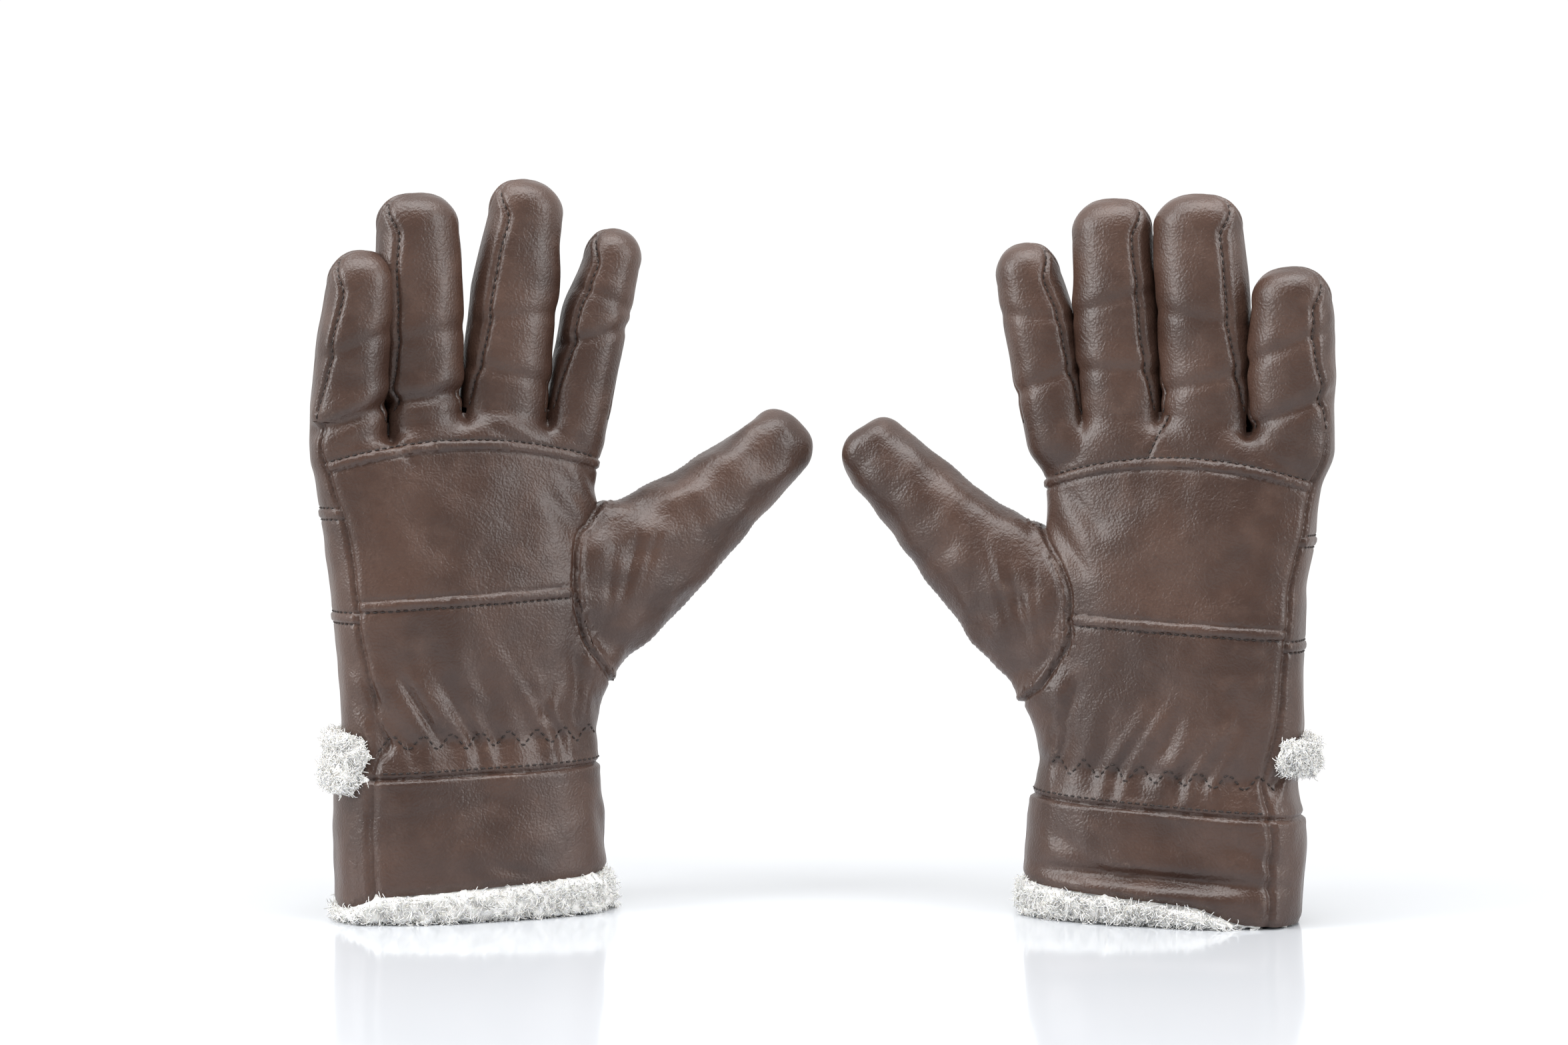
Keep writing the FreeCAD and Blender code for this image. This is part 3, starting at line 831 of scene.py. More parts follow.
def pressed_seams(glove, seams, p):
    """How far each point of the hand's skin stands out because of the seams near it."""
    cuff, side, thumb_off = seams.cuff(p), glove.side_seam(p), seams.thumb(p)
    palm = smoothstep(0.6, -0.6, side)
    off_thumb = smoothstep(0.2, -1.2, np.where(by_thumb(p), thumb_off, -9))
    zone_x, low, high = THUMB_ZONE
    near_thumb = (smoothstep(zone_x, zone_x + 5, p[:, 0]) * smoothstep(high, high - 6, p[:, 2])
                  * smoothstep(low, low + 6, p[:, 2]))
    strap = welt(seams.strap_low(p), 0.5) + welt(seams.strap_high(p), 0.5)
    out = palm * off_thumb * (welt(seams.heel(p), 0.55) + welt(seams.arc(p), 0.6))
    out += off_thumb * groove(cuff, 0.9)
    out += off_thumb * 0.5 * smoothstep(0.4, -1.2, cuff) * smoothstep(-14, -3, cuff)
    out += off_thumb * groove(side, 0.9) * smoothstep(182, 174, p[:, 2])
    out += (1 - palm) * off_thumb * strap
    out += near_thumb * (groove(thumb_off, 1.1, 0.8, 0.0) + 1.0 * bump(thumb_off - 1.9, 1.3))
    out -= 1.1 * bump(seams.hem(p), 1.6)
    if glove.mirrored:
        above_arc = smoothstep(1.5, 3.0, seams.arc(p)) * smoothstep(-4, -8, p[:, 1])
        out += groove(slanted_seam(p), 0.7, 0.7, 0.15) * above_arc
    return out


def finger_tube(finger, field, voxel):
    """One finger's part of a skin, from its ring up."""
    along, reach = finger.along, finger.length + 3
    ends = np.array([finger.origin + along * (FINGER_RING - 6), finger.origin + along * reach])
    low, high = ends.min(axis=0) - 21, ends.max(axis=0) + 21
    low[2], high[2] = ends[0, 2] - 5, ends[1, 2] + 4
    skin = Skin(*isosurface(field, low, high, voxel))
    ring = lambda p: finger.local(p)[2] - FINGER_RING
    skin.cut(ring)
    c = skin.centres()
    u, v, s = finger.local(c)
    skin.keep((s > FINGER_RING) & (np.abs(u) < finger.half(s) + 5) & (np.abs(v) < 19))
    return skin


def finger_skin(glove, finger):
    """One finger's leather, with its seams pressed into it."""
    skin = finger_tube(finger, glove.finger_skin(finger), VOXEL * 0.9)
    front, back = away(lambda p: finger.seam(p)[0]), away(lambda p: finger.seam(p)[1])
    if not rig.quick():
        for function in (front, back):
            skin.cut(function, GROOVE_LEVELS)
    p = skin.p
    s = finger.local(p)[2]
    fade = smoothstep(FINGER_RING, FINGER_RING + 5, s)
    out = fade * (groove(front(p), 0.85, 0.65, 0.25) + groove(back(p), 0.85, 0.65, 0.25))
    skin.p = p + skin.normals() * out[:, None]
    return skin


# ---------------------------------------------------------------- Blender pieces

def make_piece(glove, name, p, t, material, slot="leather", wear=None, normals=None):
    """A mesh object from points and triangles in a glove's own millimetres.

    The normals of a whole skin keep two pieces cut from it looking like one surface.
    """
    used = np.unique(t)
    renumber = np.zeros(len(p), int)
    renumber[used] = np.arange(len(used))
    p, t = p[used], renumber[t]
    if glove.mirrored:
        t = t[:, ::-1]
    row = glove.outward(p)
    mesh = bpy.data.meshes.new(f"{glove.side}_{name}")
    mesh.from_pydata(row.tolist(), [], t.tolist())
    rest = mesh.attributes.new("rest", "FLOAT_VECTOR", "POINT")
    rest.data.foreach_set("vector", row.astype(np.float32).ravel())
    # This attribute marks how much each point stands out: rubbed wear on leather, and, where it is low, painted shade
    # in the fleece's hollows.
    worn = mesh.attributes.new("worn", "FLOAT", "POINT")
    worn.data.foreach_set("value", (np.zeros(len(p)) if wear is None else wear[used]).astype(np.float32))
    mesh.polygons.foreach_set("use_smooth", np.ones(len(t), bool))
    if normals is not None:
        mesh.normals_split_custom_set_from_vertices((normals[used] @ glove.turn.T).tolist())
    mesh.materials.append(material)
    piece = bpy.data.objects.new(f"{glove.side}_{name}", mesh)
    bpy.context.scene.collection.objects.link(piece)
    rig.slot(piece, slot)
    return piece


def beside(skin, values):
    """The mean over each point's neighbours of a column or row of numbers for each point."""
    total, count = np.zeros_like(values), np.zeros(len(values))
    for k in range(3):
        a, b = skin.t[:, k], skin.t[:, (k + 1) % 3]
        for here, there in ((a, b), (b, a)):
            np.add.at(total, here, values[there])
            np.add.at(count, here, 1)
    return (total.T / np.maximum(count, 1)).T


def wear_and_shade_from(skin):
    """0 to 1, how much each point stands out from those round it: where leather is rubbed, and, where it is low,
    painted shade in the fleece's hollows.
    """
    out = ((skin.p - beside(skin, skin.p)) * skin.normals()).sum(axis=1)
    for _ in range(3):
        out = 0.5 * out + 0.5 * beside(skin, out)
    return smoothstep(0.02, 0.09, out)


# ---------------------------------------------------------------- stitches

def crossings(skin, function, order, where=None, level=0.0):
    """Points with normals where a function crosses a level on a skin, sorted along the seam."""
    value = function(skin.rest) - level
    pairs = np.concatenate([np.stack((skin.t[:, k], skin.t[:, (k + 1) % 3]), axis=1) for k in range(3)])
    pairs = np.unique(np.sort(pairs, axis=1), axis=0)
    low, high = value[pairs[:, 0]], value[pairs[:, 1]]
    pairs = pairs[(low <= 0) != (high <= 0)]
    low, high = value[pairs[:, 0]], value[pairs[:, 1]]
    share = (low / (low - high))[:, None]
    middle = skin.rest[pairs[:, 0]] * (1 - share) + skin.rest[pairs[:, 1]] * share
    if where is not None:
        kept = where(middle)
        pairs, share, middle = pairs[kept], share[kept], middle[kept]
    p = skin.p[pairs[:, 0]] * (1 - share) + skin.p[pairs[:, 1]] * share
    normals = skin.normals()
    n = normals[pairs[:, 0]] * (1 - share) + normals[pairs[:, 1]] * share
    place = order(middle)
    by_place = np.argsort(place)
    return p[by_place], n[by_place], place[by_place]


def even_steps(p, n, place, step, window):
    """Points a step apart along a seam, from unevenly spread points near it."""
    if len(p) < 8:
        return np.zeros((0, 3)), np.zeros((0, 3))
    knots = np.arange(place[0], place[-1], window)
    bins = np.clip(np.searchsorted(knots, place) - 1, 0, len(knots) - 1)
    count = np.bincount(bins, minlength=len(knots))
    full = count > 0
    total = lambda a: np.bincount(bins, a, len(knots))[full]
    mean = lambda a: np.column_stack([total(a[:, k]) / count[full] for k in range(3)])
    line, normal = mean(p), mean(n)
    length = np.concatenate(([0], np.cumsum(np.linalg.norm(np.diff(line, axis=0), axis=1))))
    at = np.arange(step / 2, length[-1], step)
    along = lambda a: np.column_stack([np.interp(at, length, a[:, k]) for k in range(3)])
    normal = along(normal)
    return along(line), normal / np.linalg.norm(normal, axis=1)[:, None]


def capsules(p, n, length, radius, direction=None):
    """Rods with round ends: one stitch on each point, lying along the line of points or along directions."""
    if direction is None:
        direction = np.gradient(p, axis=0)
    direction = direction / np.maximum(np.linalg.norm(direction, axis=1), 1e-9)[:, None]
    side = np.cross(n, direction)
    side /= np.maximum(np.linalg.norm(side, axis=1), 1e-9)[:, None]
    up = np.cross(direction, side)
    rings = ((-0.5, 0.35, -0.9), (-0.34, 0.95, 0.1), (0.0, 1.0, 0.5), (0.34, 0.95, 0.1), (0.5, 0.35, -0.9))
    around = np.arange(6) * np.pi / 3
    rows = []
    for along, wide, lift in rings:
        for angle in around:
            rows.append(p + direction * (along * length) + side * (radius * wide * math.cos(angle))
                        + up * (radius * (wide * math.sin(angle) + lift)))
    points = np.stack(rows, axis=1).reshape(-1, 3)
    faces = []
    for ring in range(len(rings) - 1):
        for k in range(6):
            a, b = ring * 6 + k, ring * 6 + (k + 1) % 6
            faces += [(a, b, b + 6), (a, b + 6, a + 6)]
    faces = np.array(faces)
    t = (faces[None] + (np.arange(len(p)) * len(rows))[:, None, None]).reshape(-1, 3)
    return points, t


def joined(parts):
    """Several (points, triangles) as one."""
    count, points, triangles = 0, [], []
    for p, t in parts:
        points.append(p)
        triangles.append(t + count)
        count += len(p)
    return np.concatenate(points), np.concatenate(triangles)


STITCH_STEP = 2.7
STITCH_LENGTH = 2.0
THREAD_RADIUS = 0.34
TOPSTITCH = 2.1                       # a line of stitches runs this far from its seam


def stitch_line(skin, function, order, where=None, level=0.0, window=1.2):
    p, n, place = crossings(skin, function, order, where, level)
    return capsules(*even_steps(p, n, place, STITCH_STEP, window), STITCH_LENGTH, THREAD_RADIUS)


# ---------------------------------------------------------------- materials

class Nodes:
    """A short way to write a material's nodes."""

    def __init__(self, name):
        self.material = bpy.data.materials.new(name)
        self.material.use_nodes = True
        self.tree = self.material.node_tree
        self.shader = self.tree.nodes["Principled BSDF"]
        self.output = self.tree.nodes["Material Output"]

    def add(self, kind, inputs=None, **settings):
        node = self.tree.nodes.new("ShaderNode" + kind)
        for key, value in settings.items():
            setattr(node, key, value)
        for key, value in (inputs or {}).items():
            self.set(node.inputs[key], value)
        return node

    def set(self, socket, value):
        if isinstance(value, bpy.types.NodeSocket):
            self.tree.links.new(value, socket)
        else:
            socket.default_value = value

    def math(self, operation, a, b=0.0, clamp=False):
        return self.add("Math", {0: a, 1: b}, operation=operation, use_clamp=clamp).outputs[0]

    def mix(self, factor, a, b):
        node = self.add("Mix", {0: factor, 6: a, 7: b}, data_type="RGBA")
        return node.outputs[2]

    def noise(self, vector, scale, detail=3.0, roughness=0.55):
        inputs = {"Vector": vector, "Scale": scale, "Detail": detail, "Roughness": roughness}
        return self.add("TexNoise", inputs).outputs[0]

    def ramp(self, value, low, high):
        inputs = {"Value": value, "From Min": low, "From Max": high}
        return self.add("MapRange", inputs, interpolation_type="SMOOTHSTEP").outputs[0]

    def bump(self, height, distance, strength=1.0, normal=None):
        inputs = {"Height": height, "Distance": distance, "Strength": strength}
        if normal is not None:
            inputs["Normal"] = normal
        return self.add("Bump", inputs).outputs[0]


def leather_material():
    """Dark brown grain leather: pebbles, soft creases, uneven dye, and pale specks where it is rubbed."""
    n = Nodes("brown_leather")
    place = n.add("Attribute", attribute_name="rest").outputs["Vector"]
    worn = n.add("Attribute", attribute_name="worn").outputs["Fac"]
    broad = n.noise(place, 28.0, 3.0)
    patches = n.noise(place, 95.0, 4.0, 0.6)
    fine = n.noise(place, 1500.0, 2.0, 0.6)
    swirl = n.add("TexNoise", {"Vector": place, "Scale": 220.0, "Detail": 2.0}).outputs["Color"]
    shift = n.add("VectorMath", {0: swirl, 1: (0.0016, 0.0016, 0.0016)}, operation="MULTIPLY").outputs[0]
    warped = n.add("VectorMath", {0: place, 1: shift}, operation="ADD").outputs[0]
    pebble = n.add("TexVoronoi", {"Vector": warped, "Scale": 1050.0, "Smoothness": 0.35}, feature="SMOOTH_F1")
    pebbles = pebble.outputs["Distance"]
    crease = n.add("TexVoronoi", {"Vector": warped, "Scale": 330.0}, feature="DISTANCE_TO_EDGE")
    crease_depth = n.ramp(crease.outputs["Distance"], 0.0, 0.12)

    dark, middle, light = (0.040, 0.0190, 0.0125, 1), (0.068, 0.0350, 0.0240, 1), (0.098, 0.0555, 0.0400, 1)
    colour = n.mix(n.ramp(broad, 0.38, 0.66), dark, middle)
    colour = n.mix(n.math("MULTIPLY", n.ramp(patches, 0.45, 0.75), 0.4), colour, light)
    colour = n.mix(n.math("MULTIPLY", n.ramp(pebbles, 0.45, 0.95), 0.35), colour, dark)
    rub_noise = n.noise(place, 700.0, 4.0, 0.75)
    rub_area = n.ramp(n.noise(place, 60.0, 2.0), 0.52, 0.64)
    edge = n.math("MULTIPLY", n.math("MULTIPLY", worn, rub_area), n.ramp(rub_noise, 0.50, 0.62))
    speck_noise = n.noise(place, 420.0, 3.0, 0.7)
    speck = n.math("MULTIPLY", n.ramp(speck_noise, 0.735, 0.765), n.ramp(patches, 0.5, 0.7))
    rub = n.math("ADD", n.math("MULTIPLY", edge, 0.26), n.math("MULTIPLY", speck, 0.5), clamp=True)
    colour = n.mix(rub, colour, (0.30, 0.215, 0.165, 1))
    n.set(n.shader.inputs["Base Color"], colour)

    gloss = n.math("ADD", 0.33, n.math("MULTIPLY", patches, 0.14))
    gloss = n.math("ADD", gloss, n.math("MULTIPLY", rub, 0.25))
    n.set(n.shader.inputs["Roughness"], gloss)
    n.shader.inputs["Specular IOR Level"].default_value = 0.5
    n.shader.inputs["Coat Weight"].default_value = 0.14
    n.shader.inputs["Coat Roughness"].default_value = 0.30

    soft = n.bump(patches, 0.0012, 0.22)
    creased = n.bump(crease_depth, 0.00008, 0.4, soft)
    pebbled = n.bump(pebbles, 0.00018, 0.7, creased)
    grained = n.bump(fine, 0.00006, 0.6, pebbled)
    n.set(n.shader.inputs["Normal"], grained)
    return n.material


def thread_material():
    n = Nodes("brown_thread")
    place = n.add("Attribute", attribute_name="rest").outputs["Vector"]
    wave = n.add("TexWave", {"Vector": place, "Scale": 900.0, "Distortion": 1.5}, bands_direction="DIAGONAL")
    twist = wave.outputs[1]
    n.set(n.shader.inputs["Base Color"], n.mix(twist, (0.010, 0.006, 0.005, 1), (0.034, 0.020, 0.015, 1)))
    n.shader.inputs["Roughness"].default_value = 0.6
    n.set(n.shader.inputs["Normal"], n.bump(twist, 0.0001))
    return n.material


def fleece_material(name, pale, shade):
    """Off-white curly pile, with painted shade in its hollows."""
    n = Nodes(name)
    place = n.add("Attribute", attribute_name="rest").outputs["Vector"]
    tufts = n.noise(place, 420.0, 4.0, 0.65)
    fibres = n.noise(place, 2600.0, 3.0, 0.7)
    # Painted shade in the hollows: the less a point stands out, the more it takes the shade colour.
    painted_hollow_shade = n.math("SUBTRACT", 1.0, n.add("Attribute", attribute_name="worn").outputs["Fac"])
    colour = n.mix(n.ramp(tufts, 0.35, 0.7), shade, pale)
    colour = n.mix(n.math("MULTIPLY", painted_hollow_shade, 0.3), colour, shade)
    n.set(n.shader.inputs["Base Color"], colour)
    n.shader.inputs["Roughness"].default_value = 0.95
    n.shader.inputs["Sheen Weight"].default_value = 0.5
    n.shader.inputs["Sheen Roughness"].default_value = 0.5
    n.shader.inputs["Subsurface Weight"].default_value = 0.25
    n.shader.inputs["Subsurface Radius"].default_value = (0.003, 0.0027, 0.0022)
    rough = n.bump(tufts, 0.0008, 0.6)
    n.set(n.shader.inputs["Normal"], n.bump(fibres, 0.0003, 0.8, rough))
    return n.material


LEATHER = leather_material()
THREAD = thread_material()
FLEECE = fleece_material("white_fleece", (0.97, 0.965, 0.95, 1), (0.86, 0.85, 0.82, 1))
LINING = fleece_material("lining_fleece", (0.80, 0.77, 0.70, 1), (0.60, 0.56, 0.48, 1))


# ---------------------------------------------------------------- the gloves

HAND_PIECES = {
    PALM: ("palm_middle_skin", ("palm_middle_panel",)),
    FINGERS: ("palm_finger_skin", ("palm_finger_panel",)),
    HEEL: ("palm_heel_skin", ("palm_heel_panel", "wrist_elastic")),
    CUFF_FRONT: ("cuff_front_skin", ("cuff_bands",)),
    CUFF_BACK: ("cuff_back_skin", ("cuff_bands",)),
    BACK_LOW: ("back_lower_skin", ("back_panels",)),
    BACK_STRAP: ("back_strap_skin", ("back_strap",)),
    BACK_UP: ("back_upper_skin", ("back_panels",)),
}


def named(glove, names):
    return [f"{glove.side}_{name}" for name in names]


class Cloth:
    """A skin with what its pieces share: normals, and how much each point stands out, which gives the leather's wear
    and the fleece's painted shade in its hollows.
    """

    def __init__(self, glove, skin, material, slot):
        self.glove, self.skin, self.material, self.slot = glove, skin, material, slot
        self.wear, self.normals = wear_and_shade_from(skin), skin.normals()

    def piece(self, name, chosen):
        return make_piece(self.glove, name, self.skin.p, self.skin.t[chosen], self.material, self.slot,
                          self.wear, self.normals)


def bend_line(glove, finger, first, last):
    """Two places along a finger between which its skin bends."""
    return {"start": glove.outward(finger.hinges[0] + finger.along * first),
            "end": glove.outward(finger.hinges[0] + finger.along * last)}


def dress_finger(glove, finger, skin, material, kind):
    """A finger's two pieces: one bends at its base knuckle, one at its middle knuckle."""
    along = lambda p: (p - finger.hinges[0]) @ finger.along
    middle = (BASE_BEND[1] + finger.knuckle - MIDDLE_BEND) / 2
    skin.cut(lambda p: along(p) - middle)
    cloth = Cloth(glove, skin, material, kind)
    beyond = along(skin.centres()) > middle
    base = cloth.piece(f"{finger.name}_base_{kind}_skin", ~beyond)
    tip = cloth.piece(f"{finger.name}_tip_{kind}_skin", beyond)
    hand_body, base_body, tip_body = named(glove, ("hand", f"{finger.name}_base", f"{finger.name}_tip"))
    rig.blend(base, hand_body, base_body, **bend_line(glove, finger, *BASE_BEND))
    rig.blend(tip, base_body, tip_body,
             **bend_line(glove, finger, finger.knuckle - MIDDLE_BEND, finger.knuckle + MIDDLE_BEND))
    return base, tip


def dress_thumb(glove, cloth, chosen, kind):
    """The thumb's two pieces: one bends about the upright hinge at its root, one at its knuckle."""
    root, knuckle = glove.thumb_hinges
    along = glove.knuckle_along()
    beyond = (cloth.skin.centres() - knuckle) @ along > -THUMB_SPLIT
    base = cloth.piece(f"thumb_base_{kind}_skin", chosen & ~beyond)
    tip = cloth.piece(f"thumb_tip_{kind}_skin", chosen & beyond)
    hand_body, base_body, tip_body = named(glove, ("hand", "thumb_base", "thumb_tip"))
    level = lambda x: glove.outward(np.array((x, root[1], root[2])))
    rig.blend(base, hand_body, base_body, start=level(THUMB_BEND[0]), end=level(THUMB_BEND[1]))
    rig.blend(tip, base_body, tip_body, start=glove.outward(knuckle - along * MIDDLE_BEND),
             end=glove.outward(knuckle + along * MIDDLE_BEND))
    return base, tip


THUMB_BEND = (43.0, 58.0)
THUMB_SPLIT = 17.0


def split_thumb(glove, skin):
    """Cuts a skin where the thumb's two pieces meet."""
    knuckle, along = glove.thumb_hinges[1], glove.knuckle_along()
    skin.cut(lambda p: (p - knuckle) @ along + THUMB_SPLIT, where=lambda c: c[:, 0] > THUMB_SKIN_X)


def dress_hand(glove):
    """The hand's leather in its panels, and the thumb's in two pieces, with their stitches."""
    skin = hand_panels(glove)
    split_thumb(glove, skin)
    cloth = Cloth(glove, skin, LEATHER, "leather")
    for panel, (name, replaced) in HAND_PIECES.items():
        piece = cloth.piece(name, skin.panel == panel)
        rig.ride(piece, f"{glove.side}_hand")
        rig.replaces(piece, *named(glove, replaced))
    for part, piece in zip(("base", "tip"), dress_thumb(glove, cloth, skin.panel == THUMB_SKIN, "leather")):
        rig.replaces(piece, f"{glove.side}_thumb_{part}_leather")
    stitches = make_piece(glove, "hand_stitches", *joined(hand_stitches(glove, skin)), THREAD, "leather")
    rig.ride(stitches, f"{glove.side}_hand")


def hand_stitches(glove, skin):
    """Rods and points for every line of stitches on the hand."""
    seams = seams_of(glove)
    elastic = plane_z(glove.line(ELASTIC[glove.side]))
    off_thumb = lambda p: (seams.thumb(p) < -0.8) | ~by_thumb(p, (2, 4, -2))
    on_palm = lambda p: (glove.side_seam(p) < -1) & off_thumb(p)
    on_back = lambda p: (glove.side_seam(p) > 1) & off_thumb(p)
    from_thumb = lambda p: p[:, 0]
    round_back = lambda p: np.arctan2(p[:, 0], p[:, 1] + 4)
    lines = [
        stitch_line(skin, seams.heel, from_thumb, on_palm, -TOPSTITCH),
        stitch_line(skin, seams.arc, from_thumb, on_palm, TOPSTITCH),
        stitch_line(skin, seams.cuff, from_thumb, on_palm, TOPSTITCH),
    ]
    for seam in (seams.strap_low, seams.strap_high):
        for level in (-TOPSTITCH, TOPSTITCH):
            lines.append(stitch_line(skin, seam, round_back, on_back, level, 0.03))
    zigzag = lambda p: elastic(p) - ZIGZAG_HALF * (
        4 * np.abs((p[:, 0] / ZIGZAG_PITCH) % 1 - 0.5) - 1)
    on_elastic = lambda p: (p[:, 1] < 0) & (np.abs(p[:, 0] - 4) < 41)
    lines.append(stitch_line(skin, zigzag, from_thumb, on_elastic, 0.0, 0.7))
    if glove.mirrored:
        above_arc = lambda p: (p[:, 1] < -6) & (seams.arc(p) > 0.5)
        lines.append(stitch_line(skin, slanted_seam, lambda p: p[:, 2], above_arc))
    return lines


ZIGZAG_HALF, ZIGZAG_PITCH = 3.1, 10.4
SLANTED_SEAM = (10.5, -0.42)          # x at height 168, and its change with height


def dress_finger_leather(glove, finger):
    skin = finger_skin(glove, finger)
    pieces = dress_finger(glove, finger, skin, LEATHER, "leather")
    for part, piece in zip(("base", "tip"), pieces):
        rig.replaces(piece, f"{glove.side}_{finger.name}_{part}_leather")
    along = lambda p: finger.local(p)[2]
    middle = (BASE_BEND[1] + finger.knuckle - MIDDLE_BEND) / 2
    middle_bend = (finger.knuckle - MIDDLE_BEND, finger.knuckle + MIDDLE_BEND)
    hand_body, base_body, tip_body = named(glove, ("hand", f"{finger.name}_base", f"{finger.name}_tip"))
    front = away(lambda p: finger.seam(p)[0])
    back = away(lambda p: finger.seam(p)[1])
    below_tip = lambda p: along(p) < finger.length - 4
    for part, first, second, zone, inside in (
        ("base", hand_body, base_body, BASE_BEND, lambda p: along(p) <= middle),
        ("tip", base_body, tip_body, middle_bend, lambda p: along(p) > middle),
    ):
        lines = []
        for seam in (front, back):
            for sign in (-1, 1):
                where = lambda p, sign=sign: (sign * finger.local(p)[0] > 2) & inside(p) & below_tip(p)
                lines.append(stitch_line(skin, seam, along, where))
        stitches = make_piece(glove, f"{finger.name}_{part}_stitches", *joined(lines), THREAD, "leather")
        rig.blend(stitches, first, second, **bend_line(glove, finger, *zone))


def dress_inside(glove):
    """The fleece lining, which shows in the cuff's mouth."""
    field = lambda p: glove.hand_skin(p) + LINING_DEPTH
    skin = Skin(*isosurface(field, *HAND_BOX, LINING_VOXEL))
    hem = plane_z(glove.hem_line)
    skin.cut(hem)
    skin.keep(hem(skin.centres()) > 0)
    cut_fingers_off(glove, skin)
    skin.cut(lambda p: p[:, 0] - LINING_THUMB_X, new_panel=THUMB_SKIN)
    split_thumb(glove, skin)
    cloth = Cloth(glove, skin, LINING, "fleece")
    hand = cloth.piece("hand_lining_fleece", skin.panel != THUMB_SKIN)
    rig.ride(hand, f"{glove.side}_hand")
    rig.replaces(hand, f"{glove.side}_hand_lining")
    for part, piece in zip(("base", "tip"), dress_thumb(glove, cloth, skin.panel == THUMB_SKIN, "fleece")):
        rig.replaces(piece, f"{glove.side}_thumb_{part}_lining")
    for finger in glove.fingers:
        own = lambda p, finger=finger: glove.with_finger(glove.hand_only(p), finger, p) + LINING_DEPTH
        skin = finger_tube(finger, own, LINING_VOXEL)
        for part, piece in zip(("base", "tip"), dress_finger(glove, finger, skin, LINING, "fleece")):
            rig.replaces(piece, f"{glove.side}_{finger.name}_{part}_lining")


LINING_DEPTH = 4.4
LINING_VOXEL = 2.6
LINING_THUMB_X = 44.0


def fleece_shell(glove, outer, inner, ends, box, lumps):
    """The skin of a band of pile round the hand, between two depths: outside where ends are positive."""
    curls, tufts = Waves(41, 7.5), Waves(42, 3.0, count=20)

    def field(p):
        d = glove.hand_only(p)
        band = smooth_max(d - outer(p), inner - d, 1.5)
        for end in ends:
            band = smooth_max(band, end(p), 2.5)
        return band - lumps * (0.75 * curls(p) + 0.45 * tufts(p))

    return Skin(*isosurface(field, *box, 1.6 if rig.quick() else 0.85))


def strands(skin, shown, count, seed, reach, floor):
    """Small curled tufts that stand out of a fleece's face, where it shows."""
    rng = np.random.default_rng(seed)
    corners = skin.p[skin.t]
    face = np.cross(corners[:, 1] - corners[:, 0], corners[:, 2] - corners[:, 0])
    area = np.linalg.norm(face, axis=1)
    area[~shown(corners.mean(axis=1))] = 0
    chosen = rng.choice(len(area), count, p=area / area.sum())
    share = rng.dirichlet((1, 1, 1), count)
    start = (corners[chosen] * share[:, :, None]).sum(axis=1)
    n = face[chosen] / area[chosen][:, None]
    start = start - 0.3 * n
    side = np.cross(n, rng.normal(size=(count, 3)))
    side /= np.linalg.norm(side, axis=1)[:, None]
    other = np.cross(n, side)
    steps, sides = 7, 3
    size = reach * rng.uniform(0.55, 1.25, count)[:, None]
    turns = rng.uniform(1.6, 4.6, count)[:, None]
    drift = rng.normal(size=(count, 1)) * 0.35
    line = []
    for k in range(steps):
        a = k / (steps - 1)
        bend = turns * a
        line.append(start + size * (n * (np.sin(bend) / turns + 0.35 * a) * 1.5
                                    + side * (1 - np.cos(bend)) / turns * 1.5 + other * drift * a))
    line = np.stack(line)
    line[:, :, 2] = np.maximum(line[:, :, 2], floor + 0.2)
    along = np.gradient(line, axis=0)
    along /= np.maximum(np.linalg.norm(along, axis=2), 1e-9)[:, :, None]
    across = np.cross(along, other[None])
    across /= np.maximum(np.linalg.norm(across, axis=2), 1e-9)[:, :, None]
    upright = np.cross(along, across)
    thick = (0.24 * (1 - 0.55 * np.linspace(0, 1, steps)))[:, None, None]
    angles = 2 * np.pi * np.arange(sides) / sides
    ring = [line + thick * (across * math.cos(q) + upright * math.sin(q)) for q in angles]
    points = np.stack(ring, axis=1)
    points[..., 2] = np.maximum(points[..., 2], floor + 0.05)
    points = points.transpose(2, 0, 1, 3).reshape(-1, 3)
    faces = []
    for k in range(steps - 1):
        for j in range(sides):
            a, b = k * sides + j, k * sides + (j + 1) % sides
            faces += [(a, b, b + sides), (a, b + sides, a + sides)]
    t = (np.array(faces)[None] + (np.arange(count) * steps * sides)[:, None, None]).reshape(-1, 3)
    return points, t


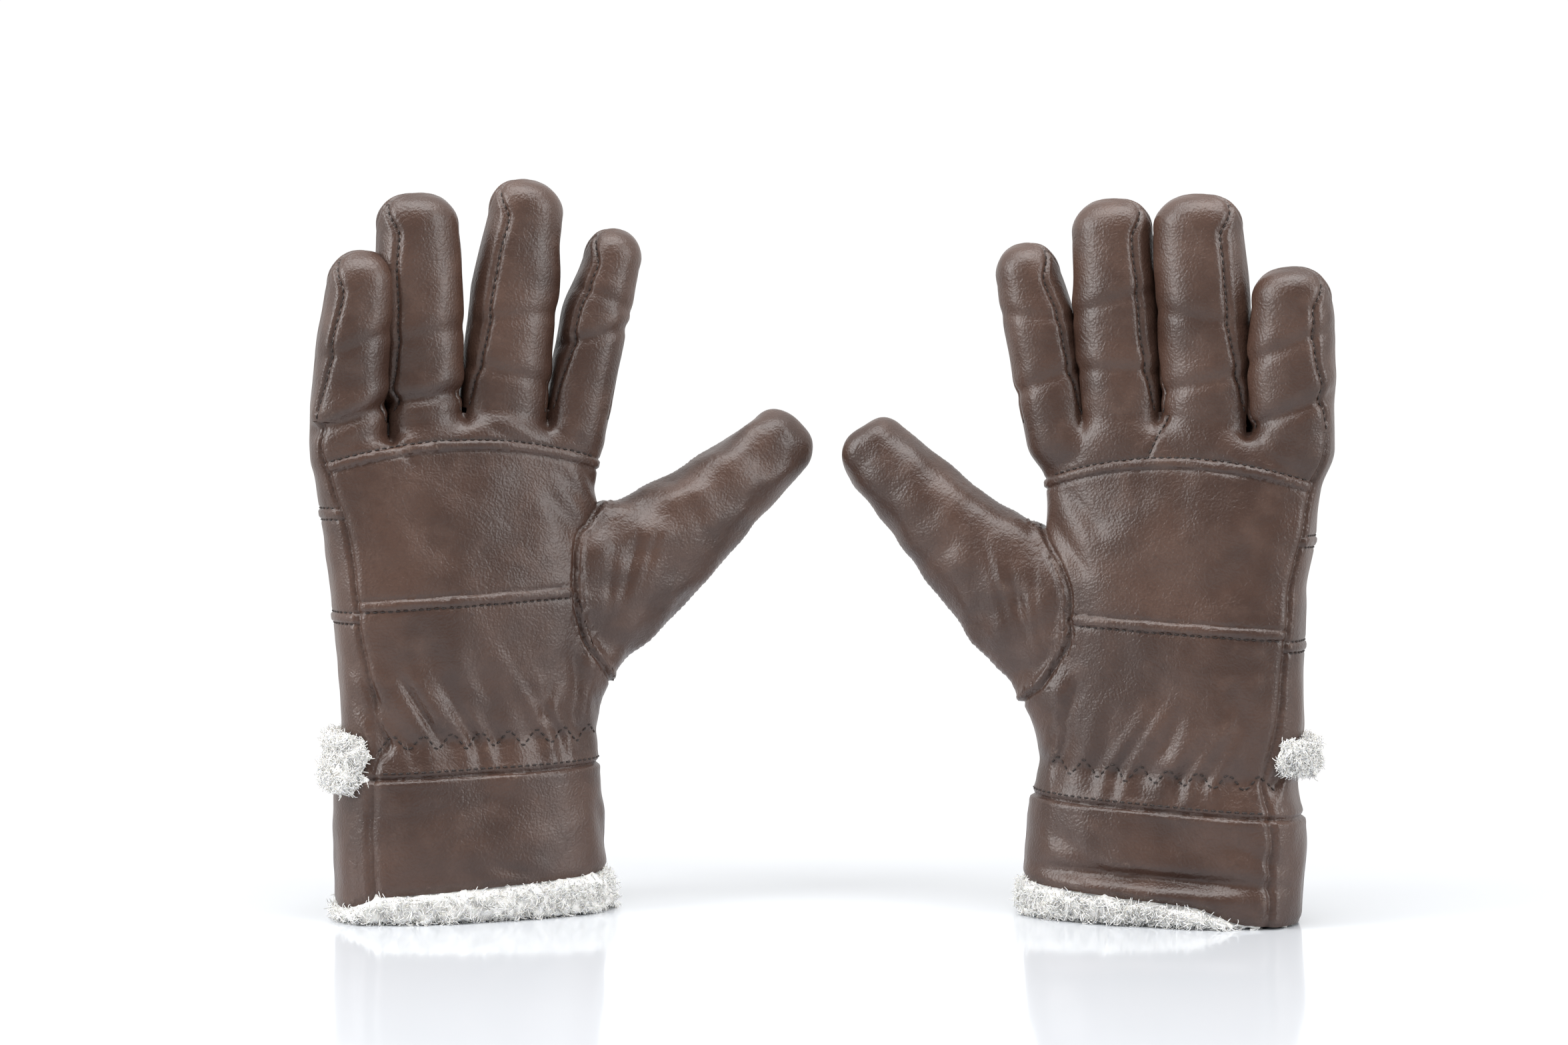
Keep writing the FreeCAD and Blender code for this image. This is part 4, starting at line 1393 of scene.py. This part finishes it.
def dress_fleece(glove):
    """The fleece that shows under the leather's lower edge, and the band across the wrist's back."""
    floor = glove.floor
    hem_height = lambda p: glove.hem_line(p[:, 0])
    under = lambda p: smoothstep(0.5, -2.5, p[:, 2] - hem_height(p))
    hem = fleece_shell(
        glove, lambda p: -2.1 + 3.5 * under(p), -5.4,
        (lambda p: floor + 0.8 - p[:, 2], lambda p: p[:, 2] - hem_height(p) - 5),
        ((-56, -33, floor - 2), (66, 33, floor + 24)), 0.75)
    hem.p[:, 2] = np.maximum(hem.p[:, 2], floor + 0.1)
    low, high = TRIM[glove.side]
    trim = fleece_shell(
        glove, lambda p: 5.2 - 1.6 * smoothstep(14, 28, p[:, 0]), -0.8,
        (lambda p: low - p[:, 2], lambda p: p[:, 2] - high, lambda p: p[:, 0] - TRIM_END_X,
         lambda p: TRIM_START - glove.side_seam(p)),
        ((-62, -30, low - 7), (40, 42, high + 9)), 0.9)
    below_leather = lambda c: c[:, 2] < hem_height(c) - 1.0
    outside = lambda c: glove.hand_only(c) > 0.5
    for name, skin, shown, count, reach, seed in (
        ("hem_fleece", hem, below_leather, 6500, 2.0, 5), ("wrist_fleece_trim", trim, outside, 7500, 1.6, 6),
    ):
        count = count // 4 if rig.quick() else count
        cloth = Cloth(glove, skin, FLEECE, "fleece")
        piece = cloth.piece(f"{name}_pile", np.ones(len(skin.t), bool))
        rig.ride(piece, f"{glove.side}_hand")
        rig.replaces(piece, f"{glove.side}_{name}")
        curls = strands(skin, shown, count, seed, reach, floor)
        tufts = make_piece(glove, f"{name}_curls", *curls, FLEECE, "fleece")
        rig.ride(tufts, f"{glove.side}_hand")


def dress(glove):
    """Everything that is seen of one glove."""
    dress_hand(glove)
    for finger in glove.fingers:
        dress_finger_leather(glove, finger)
    dress_inside(glove)
    dress_fleece(glove)


# ---------------------------------------------------------------- floor, light and camera

FLOOR_FADE = (0.24, 0.40)             # metres from the middle of the pair


def studio():
    floor_mesh = bpy.data.meshes.new("floor")
    half = 3.0
    corners = [(-half, -half, 0), (half, -half, 0), (half, half, 0), (-half, half, 0)]
    floor_mesh.from_pydata(corners, [], [(0, 1, 2, 3)])
    floor = bpy.data.objects.new("floor", floor_mesh)
    bpy.context.scene.collection.objects.link(floor)
    n = Nodes("pale_floor")
    n.shader.inputs["Base Color"].default_value = (0.58, 0.60, 0.63, 1)
    n.shader.inputs["Roughness"].default_value = 0.10
    n.shader.inputs["Specular IOR Level"].default_value = 0.5
    # Beyond the gloves the floor turns into the white of the room, so that no horizon shows
    place = n.add("TexCoord").outputs["Object"]
    far = n.ramp(n.add("VectorMath", {0: place}, operation="LENGTH").outputs["Value"], *FLOOR_FADE)
    white = n.add("Emission", {"Color": (1.0, 1.0, 1.0, 1), "Strength": 1.02})
    faded = n.add("MixShader", {0: far, 1: n.shader.outputs[0], 2: white.outputs[0]})
    n.tree.links.new(faded.outputs[0], n.output.inputs["Surface"])
    floor_mesh.materials.append(n.material)
    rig.stage(floor)

    world = bpy.data.worlds.new("studio")
    bpy.context.scene.world = world
    world.use_nodes = True
    tree = world.node_tree
    background = tree.nodes["Background"]
    place = tree.nodes.new("ShaderNodeTexCoord")
    split = tree.nodes.new("ShaderNodeSeparateXYZ")
    fade = tree.nodes.new("ShaderNodeMapRange")
    fade.interpolation_type = "SMOOTHSTEP"
    # The room is bright behind the gloves and dimmer in front of them
    for name, value in (("From Min", -0.45), ("From Max", 0.25), ("To Min", 0.18), ("To Max", 1.02)):
        fade.inputs[name].default_value = value
    tree.links.new(place.outputs["Generated"], split.inputs[0])
    tree.links.new(split.outputs["Y"], fade.inputs["Value"])
    tree.links.new(fade.outputs[0], background.inputs["Strength"])
    background.inputs["Color"].default_value = (1.0, 1.0, 1.0, 1)

    def softbox(name, place, aim, size, power):
        light = bpy.data.lights.new(name, "AREA")
        light.shape, light.size, light.size_y, light.energy = "RECTANGLE", size[0], size[1], power
        lamp = bpy.data.objects.new(name, light)
        lamp.location = place
        lamp.rotation_euler = (Vector(aim) - Vector(place)).to_track_quat("-Z", "Y").to_euler()
        bpy.context.scene.collection.objects.link(lamp)

    middle = (0, 0, 0.13)
    softbox("top_light", (0.0, -0.35, 1.25), middle, (1.3, 0.8), 19.0)
    softbox("left_light", (-1.25, -0.55, 0.75), middle, (0.5, 1.1), 19.0)
    softbox("right_light", (1.25, -0.75, 0.65), middle, (0.5, 1.1), 14.0)
    scene = bpy.context.scene
    scene.view_settings.view_transform = "Standard"


CAMERA_PLACE = (-0.013, -1.0, 0.168)
CAMERA_DOWN = 1.5


def camera():
    data = bpy.data.cameras.new("camera")
    data.lens, data.sensor_width = 63.0, 36.0
    cam = bpy.data.objects.new("camera", data)
    cam.location = CAMERA_PLACE
    cam.rotation_euler = (math.radians(90 - CAMERA_DOWN), 0, 0)
    bpy.context.scene.collection.objects.link(cam)
    bpy.context.scene.camera = cam


for side in SIDES:
    dress(Glove(side))
studio()
camera()

VISUAL_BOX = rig.bounds()
with open("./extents.json", "w") as f:
    json.dump({"cad": [list(v) for v in CAD_BOX], "visual": [list(v) for v in VISUAL_BOX]}, f)
